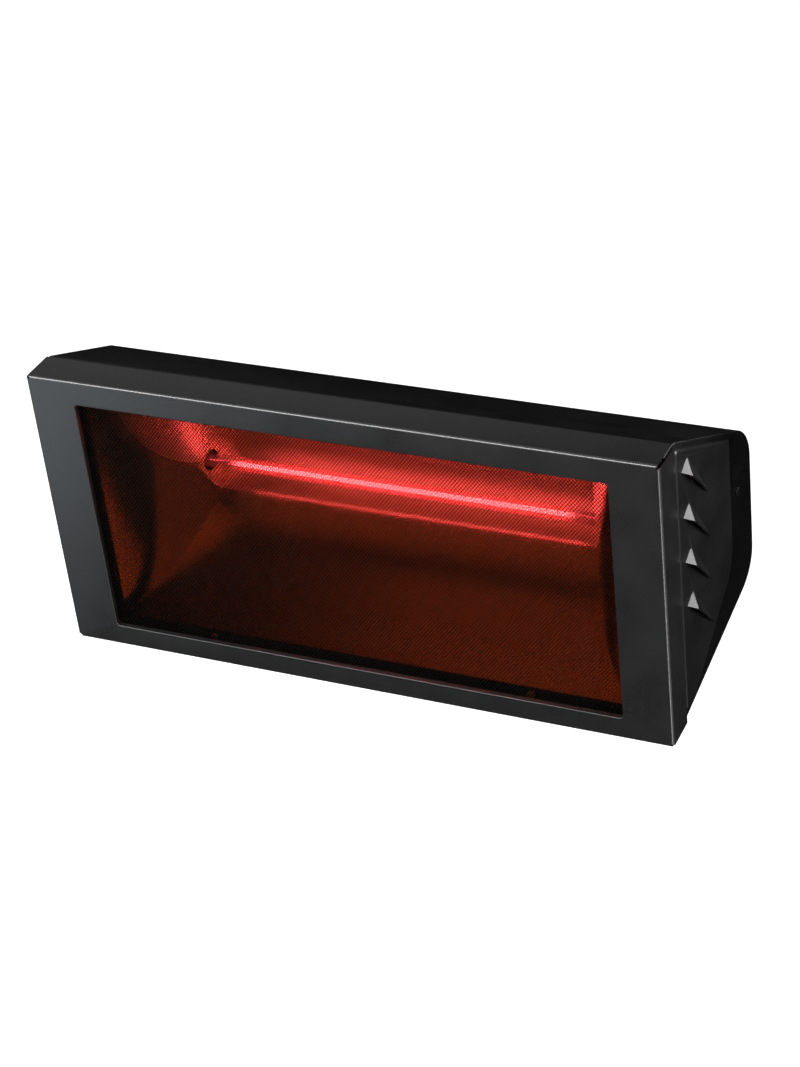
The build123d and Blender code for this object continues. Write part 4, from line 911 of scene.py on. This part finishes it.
BULGE_AT = 2.5
BULGE_REACH = 3.0
PANEL_SCREW = (115.0, 20.0)
PANEL_SCREW_HOLE = 2.1
SCREW_HOLE_SIDES = 16
RIM_START = 60.0
RIM_FADE = 45.0
RIM_SMOOTHER = 0.12
panel_coat = coated_steel(
    "panel_coat", BODY_COLOUR, gloss=0.36, specular=0.20, grain=1100.0, grain_height=0.00001, rub=0.05,
    border=RIM_SMOOTHER)


def panel_point(side, depth, height, level):
    """A point on a side panel: its depth and height, and its level above the plate."""
    if depth <= FLARE_START:
        return place(side * (COLLAR_HALF_WIDTH + level), depth, height)
    lean = math.hypot(1, FLARE_SLOPE)
    x = COLLAR_HALF_WIDTH + FLARE_SLOPE * (depth - FLARE_START) + level / lean
    return place(side * x, depth - level * FLARE_SLOPE / lean, height)


def eased_corner(start, corner, end, share):
    """A run from start to end whose corner is eased by a curve that uses a share of both sides."""
    enter = corner.lerp(start, share)
    leave = corner.lerp(end, share)
    before, round_it, after = LOUVRE_RUNS
    run = [start.lerp(enter, step / before) for step in range(before)]
    for step in range(round_it):
        t = step / round_it
        run.append(enter.lerp(corner, t).lerp(corner.lerp(leave, t), t))
    return run + [leave.lerp(end, step / after) for step in range(after + 1)]


def louvre_patch(mesh, side, first):
    """A louvre's hood, in columns from its foot up to its free lip. Returns its opening's outline."""
    nothing = Vector((0, 0, 0))
    lip = eased_corner(nothing, LOUVRE_CREST, LOUVRE_END, CREST_EASE)
    for point in lip[LIP_TAIL:]:
        point.z = LOUVRE_CREST.z * (point.z / LOUVRE_CREST.z) ** LOUVRE_FULLNESS
    foot = eased_corner(nothing, LOUVRE_TIP, LOUVRE_END, TIP_EASE)
    columns = []
    for index, (low, high) in enumerate(zip(foot, lip)):
        column = []
        early = max(0.0, 1 - abs(index - BULGE_AT) / BULGE_REACH)
        for row in range(LOUVRE_ROWS + 1):
            share = row / LOUVRE_ROWS
            spot = low.lerp(high, share) + BULGE * early * (1 - share)
            rise = high.z * share * (LOUVRE_RISE + (1 - LOUVRE_RISE) * share)
            depth = FLARE_START + (first[0] + spot.x) / math.hypot(1, FLARE_SLOPE)
            height = first[1] + spot.y
            column.append((Vector((depth, height)), FIELD_STEP[-1][1] + rise))
            if index in (0, len(foot) - 1):
                break
        spots = [(flat, panel_point(side, flat.x, flat.y, level)) for flat, level in column]
        columns.append([(flat, mesh.verts.new(spot)) for flat, spot in spots])
    for near, far in zip(columns, columns[1:]):
        for row in range(LOUVRE_ROWS):
            corners = [near[min(row, len(near) - 1)][1], near[min(row + 1, len(near) - 1)][1]]
            corners += [far[min(row + 1, len(far) - 1)][1], far[min(row, len(far) - 1)][1]]
            mesh.faces.new(list(dict.fromkeys(corners)))
    return [column[0] for column in columns]


def beside_field(point):
    """How much of the smooth rim's finish a point has: all of it below and behind the field."""
    return 1.0 if point.y < 0 else min(1.0, max(0.0, (point.x - RIM_START) / RIM_FADE))


def join_rows(mesh, near, far):
    """Quads between two rows of a panel's outline, of which the last two points are its front."""
    bridge(mesh, near[:-2], far[:-2], closed=False)
    for first in (-3, -1):
        mesh.faces.new((near[first], near[first + 1], far[first + 1], far[first]))


def side_panel(side, name, node):
    """A whole side panel as one closed sheet."""
    mesh = bmesh.new()
    border_value = mesh.verts.layers.float.new("border")

    def laid(loop, level):
        """A loop of points, each with its vertex at a level above the plate."""
        return [(point, mesh.verts.new(panel_point(side, point.x, point.y, level))) for point in loop]

    outline = rounded_loop(PANEL_CORNERS, PANEL_RADII, PANEL_STEPS)
    turns = [math.pi / 2 * step / EDGE_STEPS for step in range(EDGE_STEPS + 1)]
    arc = [(EDGE_RADIUS * (1 - math.cos(a)), EDGE_RADIUS * (math.sin(a) - 1)) for a in turns]
    profile = [(FLANGE_INSET, -FLANGE_END), (FLANGE_INSET, -SHEET), (0, -SHEET), *arc, (FACE_INSET, 0)]
    rows = []
    for inset, level in profile:
        loop = moved_in(outline, inset) if inset else outline
        low_slope = (loop[1].y - loop[0].y) / (loop[1].x - loop[0].x)
        low_z = loop[0].y + (FLARE_START - loop[0].x) * low_slope
        front = [Vector((PANEL_FRONT, loop[-1].y)), Vector((PANEL_FRONT, low_z))]
        loop = [Vector((FLARE_START, low_z))] + loop[1:-1] + [Vector((FLARE_START, loop[-1].y))] + front
        rows.append(laid(loop, level))
    for near, far in zip(rows, rows[1:]):
        join_rows(mesh, verts_of(near), verts_of(far))
    rim_faces = set(mesh.faces)
    for point, vert in (entry for row in rows for entry in row):
        vert[border_value] = beside_field(point)
    border = rows[-1]
    mesh.faces.new([border[index][1] for index in (0, -3, -2, -1)])
    steps = []
    field = rounded_loop(FIELD_CORNERS, FIELD_RADII, PANEL_STEPS)
    for inset, level in FIELD_STEP:
        loop = moved_in(field, inset) if inset else field
        steps.append(laid(loop, level))
        for point, vert in steps[-1]:
            vert[border_value] = (1.0 - level) * beside_field(point)
    for near, far in zip(steps, steps[1:]):
        bridge(mesh, verts_of(near), verts_of(far))
    turns = all_round(SCREW_HOLE_SIDES)
    ring = [Vector(PANEL_SCREW) + PANEL_SCREW_HOLE * Vector((math.cos(a), math.sin(a))) for a in turns]
    screw_hole = laid(ring, 0)
    for _, vert in screw_hole:
        vert[border_value] = 1.0
    fill_between(mesh, border[:-2], [steps[0], screw_hole])
    louvres = []
    for index in range(LOUVRE_COUNT):
        first = (LOUVRE_FIRST[0], LOUVRE_FIRST[1] - index * LOUVRE_PITCH)
        louvres.append(louvre_patch(mesh, side, first))
    fill_between(mesh, steps[-1], louvres)
    bmesh.ops.recalc_face_normals(mesh, faces=mesh.faces)
    mesh.normal_update()
    skin = [face for face in mesh.faces if face not in rim_faces]
    open_edges = [edge for face in skin for edge in face.edges if len(edge.link_faces) == 1]
    outward = 1 if sum(face.normal.x for face in skin) * side > 0 else -1
    twins = {}
    for vert in dict.fromkeys(vert for face in skin for vert in face.verts):
        around = [face for face in vert.link_faces if face not in rim_faces]
        normal = sum((face.normal * face.calc_area() for face in around), Vector())
        twins[vert] = mesh.verts.new(vert.co - normal.normalized() * (outward * SHEET * MM))
    for face in skin:
        mesh.faces.new([twins[vert] for vert in reversed(face.verts)])
    for edge in open_edges:
        first, second = edge.verts
        mesh.faces.new((first, second, twins[second], twins[first]))
    inner = [twins[v] for v in verts_of(border)]
    flange = verts_of(laid([point for point, _ in border], -FLANGE_END))
    join_rows(mesh, inner, flange)
    join_rows(mesh, flange, verts_of(rows[0]))
    for first in (-2, -1):
        run = [row[first][1] for row in rows]
        mesh.faces.new(run + [inner[first], flange[first]])
    return finished(mesh, name, panel_coat, "heater", [node])


side_panel(1, "right_side_panel", "side_panel_right")
side_panel(-1, "left_side_panel", "side_panel_left")


# ---- Fixings in black ----
# Pan-head screws of zinc-plated steel and the rivets of the hinge, blackened so that they
# disappear against the coat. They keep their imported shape.
black_zinc = bright_metal(
    "black_zinc", (0.005, 0.005, 0.005, 1), gloss=0.45, stretch=TURNED, lines=700.0, line_height=0.00001)
refinish("black_screw", black_zinc, "bezel_screws", "side_panel_screws", "heat_shield_screws",
         "bracket_screws", "hinge_rivets")


# ---- Reflector ----
# A trough of one folded sheet and two curved ends, all of polished aluminium, warm from years of
# heat and dulled deep in the niche and round the lamp. The sheet is rolled along its length.
REFLECTOR_COLOUR = (0.86, 0.80, 0.62, 1)
ROLLED_ALONG = (0.05, 1.0, 1.0)
ROLLED_UP = (1.0, 1.0, 0.05)
NICHE_DEPTH = 92.5
NICHE_ROUND = 0.5
NICHE_EDGE = 0.003
NICHE_GLOSS = 0.42
END_DULLED = (110.0, 80.0)
END_DULL_RADIUS = 0.089
END_DULL_EDGE = 0.012
END_DULL_GLOSS = 0.38
niche_axis = (0, *place(0, NICHE_DEPTH + NICHE_ROUND / MM, 0).yz)
end_axis = (0, *place(0, *END_DULLED).yz)
trough_metal = bright_metal(
    "warm_polish", REFLECTOR_COLOUR, gloss=0.17, stretch=ROLLED_ALONG, lines=260.0, line_height=0.00002,
    stain=0.96, haze=0.01, dulled=(niche_axis, NICHE_ROUND, NICHE_EDGE, NICHE_GLOSS))
end_metal = bright_metal(
    "end_polish", REFLECTOR_COLOUR, gloss=0.12, stretch=ROLLED_UP, lines=260.0, line_height=0.00001,
    stain=0.96, haze=0.01, dulled=(end_axis, END_DULL_RADIUS, END_DULL_EDGE, END_DULL_GLOSS))
shield_metal = bright_metal(
    "mill_finish", (0.80, 0.81, 0.82, 1), gloss=0.34, stretch=ROLLED_ALONG, lines=220.0,
    line_height=0.00003)
refinish("polished_aluminium", trough_metal, "reflector_trough")
refinish("polished_aluminium", end_metal, "reflector_end_right", "reflector_end_left")
refinish("bright_aluminium", shield_metal, "heat_shield")


# ---- Lamp ----
# A halogen tube of clear quartz, 10 mm across, glowing red round the hot tungsten coil that runs along
# it: that red glow in the quartz is a painted halo of the coil's light. Its flat ends sit in ceramic
# caps with nickel contact buttons.
COIL_RADIUS = 1.45
COIL_WIRE = 0.32
COIL_PITCH = 1.6
COIL_SIDES = 12
COIL_SECTION = 5
LAMP_DEPTH = ((lamp_low.y + lamp_high.y) / 2 - FRONT_Y) / MM
LIT_HALF = 132.0
LEAD_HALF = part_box("lamp_filament")[1].x / MM
LEAD_RADIUS = 0.4
LEAD_SIDES = 8
COIL_COLOUR = (1.0, 0.24, 0.80, 1)
COIL_GREY = (0.2, 0.2, 0.2, 1)
COIL_GLOW = 74.0
COIL_DIMMEST = 0.85
COIL_FADE = (0.112, 0.131)
COIL_COOLED = 0.94
# The painted halo in the quartz: its colour, its level, where it fades and its faint glow at the ends.
TUBE_HALO_COLOUR = (1.0, 0.06, 0.08, 1)
TUBE_HALO_LEVEL = 3.2
TUBE_HALO_FADE = (0.116, 0.134)
TUBE_END_HALO = 0.12
TUBE_CLEAR = 0.15
TUBE_GLOSS = 0.05
QUARTZ = (0.9, 0.9, 0.9, 1)
UNLIT = (0, 0, 0, 1)


def from_middle(tree, where):
    """How far a point is from the lamp's middle."""
    return calculated(tree, "ABSOLUTE", add(tree, "ShaderNodeSeparateXYZ", {0: where}).outputs["X"])


def glowing(name, colour, level):
    """Metal so hot that it shines by itself, unevenly along its length and less at its cooler ends."""
    material, tree, output = blank_material(name)
    where = on_object(tree)
    uneven = noise(tree, where, scale=60.0, detail=3.0)
    tone = blended(tree, uneven, shaded(colour, COIL_DIMMEST), colour)
    cooler = mapped(tree, from_middle(tree, where), COIL_FADE, (0.0, COIL_COOLED))
    surfaced(tree, output, {
        "Base Color": COIL_GREY, "Roughness": 0.5, "Emission Strength": level,
        "Emission Color": blended(tree, cooler, tone, UNLIT)})
    return material


def coil_tree():
    """A wire wound into a helix along X."""
    tree, given = wire_tree("wound_wire", "Turns", "Radius", "Length", "Thickness", "Steps")
    spiral = add(tree, "GeometryNodeCurveSpiral", {
        "Resolution": given["Steps"], "Rotations": given["Turns"], "Start Radius": given["Radius"],
        "End Radius": given["Radius"], "Height": given["Length"]})
    section = add(tree, "GeometryNodeCurvePrimitiveCircle", {
        "Resolution": COIL_SECTION, "Radius": calculated(tree, "DIVIDE", given["Thickness"], 2.0)})
    wire = add(tree, "GeometryNodeCurveToMesh", {
        "Curve": spiral.outputs[0], "Profile Curve": section.outputs["Curve"], "Fill Caps": True})
    turned = {"Geometry": wire.outputs[0], "Rotation": (0, math.pi / 2, 0)}
    lying = add(tree, "GeometryNodeTransform", turned)
    end_tree(tree, lying.outputs[0], given["Finish"])
    return tree


hot_tungsten = glowing("hot_tungsten", COIL_COLOUR, COIL_GLOW)
wound_wire = coil_tree()
filament = bmesh.new()
coil = grown(wound_wire, {
    "Turns": float(round(2 * LIT_HALF / COIL_PITCH)), "Radius": COIL_RADIUS, "Length": 2 * LIT_HALF,
    "Thickness": COIL_WIRE, "Steps": float(COIL_SIDES), "Finish": hot_tungsten})
coil.transform(Matrix.Translation(place(-LIT_HALF, LAMP_DEPTH, 0)) @ Matrix.Scale(MM, 4))
filament.from_mesh(coil)
for lead in ((-LEAD_HALF, -LIT_HALF), (LIT_HALF, LEAD_HALF)):
    rings = []
    for x in lead:
        centre = COIL_RADIUS if abs(x) == LIT_HALF else 0.0
        ring = [place(x, LAMP_DEPTH + LEAD_RADIUS * math.cos(a), LEAD_RADIUS * math.sin(a) + centre)
                for a in all_round(LEAD_SIDES)]
        rings.append([filament.verts.new(spot) for spot in ring])
    bridge(filament, *rings)
    for ring in rings:
        filament.faces.new(ring)
finished(filament, "filament_coil", hot_tungsten, "heater", ["lamp_filament"])

# The quartz's own red emission is painted light: a halo of the coil's light, strongest along the coil
# and fading to a faint glow at the tube's ends.
quartz_painted_halo, tree, output = blank_material("quartz_painted_halo")
away = from_middle(tree, on_object(tree))
lit = mapped(tree, away, TUBE_HALO_FADE, (1.0, TUBE_END_HALO), interpolation_type="SMOOTHSTEP")
surfaced(tree, output, {
    "Base Color": QUARTZ, "Roughness": TUBE_GLOSS, "Alpha": TUBE_CLEAR,
    "Emission Color": blended(tree, lit, UNLIT, TUBE_HALO_COLOUR), "Emission Strength": TUBE_HALO_LEVEL})
refinish("quartz_glass", quartz_painted_halo, "lamp_tube")


# ---- Lampholders ----
# Blocks of unglazed steatite hold the lamp's caps. A brass plunger in each, pushed by a small
# spring of steel wire, presses on the lamp's nickel contact, and a brass plate takes the lead.
SPRING_RADIUS = 3.6
SPRING_WIRE = 0.9
SPRING_TURNS = 6.5
SPRING_STEPS = 20.0
steatite = moulded(
    "unglazed_steatite", (0.70, 0.66, 0.56, 1), gloss=0.62, grain=900.0, grain_height=0.00005)
nickel = bright_metal(
    "nickel_plate", (0.66, 0.62, 0.55, 1), gloss=0.2, stretch=TURNED, lines=600.0, line_height=0.000005)
plain_brass = bright_metal(
    "plain_brass", (0.72, 0.52, 0.22, 1), gloss=0.28, stretch=(6.0, 1.0, 1.0), lines=400.0,
    line_height=0.00001, stain=0.7)
refinish("steatite", steatite, "lampholder_right", "lampholder_left", "lamp_end_caps",
         "heat_shield_spacers")
refinish("nickel_contact", nickel, "lamp_contacts")
refinish("brass", plain_brass, "contact_plunger_right", "contact_plunger_left", "holder_terminals")
refinish("zinc_steel", zinc_plate, "lampholder_bracket_right", "lampholder_bracket_left")
for side, name in ((1, "right"), (-1, "left")):
    space_low, space_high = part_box("contact_spring_" + name)
    length = (space_high.x - space_low.x) / MM
    wire = grown(wound_wire, {
        "Turns": SPRING_TURNS, "Radius": SPRING_RADIUS, "Length": length - SPRING_WIRE,
        "Thickness": SPRING_WIRE, "Steps": SPRING_STEPS, "Finish": blued_steel})
    start = place(space_low.x / MM + SPRING_WIRE / 2, LAMP_DEPTH, 0)
    wire.transform(Matrix.Translation(start) @ Matrix.Scale(MM, 4))
    spring = bmesh.new()
    spring.from_mesh(wire)
    piece = finished(spring, "wire_spring_" + name, blued_steel, "heater",
                     ["contact_spring_" + name])
    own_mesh(piece)


# ---- Wiring ----
# A three-pole block of steatite, an earth stud with its nut and ring, and three leads in
# silicone rubber: brown, blue, and green with a yellow stripe along it.
RUBBER_GRAIN = 700.0
RUBBER_HEIGHT = 0.00002
RUBBER_GLOSS = 0.5
EARTH_GREEN = (0.03, 0.21, 0.015, 1)
EARTH_YELLOW = (0.62, 0.50, 0.02, 1)
STRIPE_SCALE = 62.0
STRIPE_WANDER = 0.6
STRIPE_EDGE = (0.62, 0.68)
refinish("steatite", steatite, "terminal_block")
refinish("zinc_steel", zinc_plate, "terminal_screws", "terminal_block_screws", "earth_stud")
brown_rubber = moulded(
    "brown_silicone", (0.075, 0.022, 0.009, 1), RUBBER_GLOSS, RUBBER_GRAIN, RUBBER_HEIGHT)
blue_rubber = moulded("blue_silicone", (0.012, 0.05, 0.28, 1), RUBBER_GLOSS, RUBBER_GRAIN, RUBBER_HEIGHT)
refinish("lead_brown", brown_rubber, "lead_live")
refinish("lead_blue", blue_rubber, "lead_neutral")

striped_rubber, tree, output = blank_material("striped_silicone")
where = on_object(tree)
coat = filled(tree, powder_grain, {"Position": where, "Grain": RUBBER_GRAIN, "Drift": MOULD_DRIFT})
waves = {"Vector": where, "Scale": STRIPE_SCALE, "Distortion": STRIPE_WANDER, "Detail": 1.0}
stripe = add(tree, "ShaderNodeTexWave", waves, bands_direction="DIAGONAL").outputs["Fac"]
surfaced(tree, output, {
    "Base Color": blended(tree, mapped(tree, stripe, STRIPE_EDGE), EARTH_GREEN, EARTH_YELLOW),
    "Roughness": RUBBER_GLOSS, "Normal": bumped(tree, coat["Height"], RUBBER_HEIGHT)})
refinish("lead_green_yellow", striped_rubber, "lead_earth")


# ---- Cable gland ----
# A black polyamide sleeve through the back wall, with its lock nut inside, its dome nut outside
# and a rubber seal that grips the cable.
polyamide = moulded(
    "black_polyamide", (0.012, 0.012, 0.013, 1), gloss=0.42, grain=800.0, grain_height=0.00002)
black_rubber = moulded(
    "black_rubber", (0.010, 0.010, 0.010, 1), gloss=0.75, grain=500.0, grain_height=0.00003,
    specular=0.3)
refinish("gland_plastic", polyamide, "gland_body", "gland_dome_nut", "gland_lock_nut")
refinish("seal_rubber", black_rubber, "gland_seal")


# ---- Tilting mount ----
# A channel riveted to the back wall turns on a zinc-plated bolt between the ears of the wall
# bracket. Both are folded steel, powder coated black. The lobed knob is of black phenolic, moulded
# round a brass bush.
bracket_coat = coated_steel(
    "bracket_coat", (0.009, 0.009, 0.0095, 1), gloss=0.5, specular=0.3, grain=1000.0,
    grain_height=0.00004, rub=0.45)
phenolic = moulded(
    "black_phenolic", (0.010, 0.0095, 0.009, 1), gloss=0.32, grain=500.0, grain_height=0.00001,
    specular=0.5)
refinish("bracket_paint", bracket_coat, "rear_hinge_bracket", "wall_bracket")
refinish("zinc_steel", zinc_plate, "pivot_bolt", "pivot_washers")
refinish("knob_plastic", phenolic, "clamp_knob")
refinish("brass", plain_brass, "knob_insert")
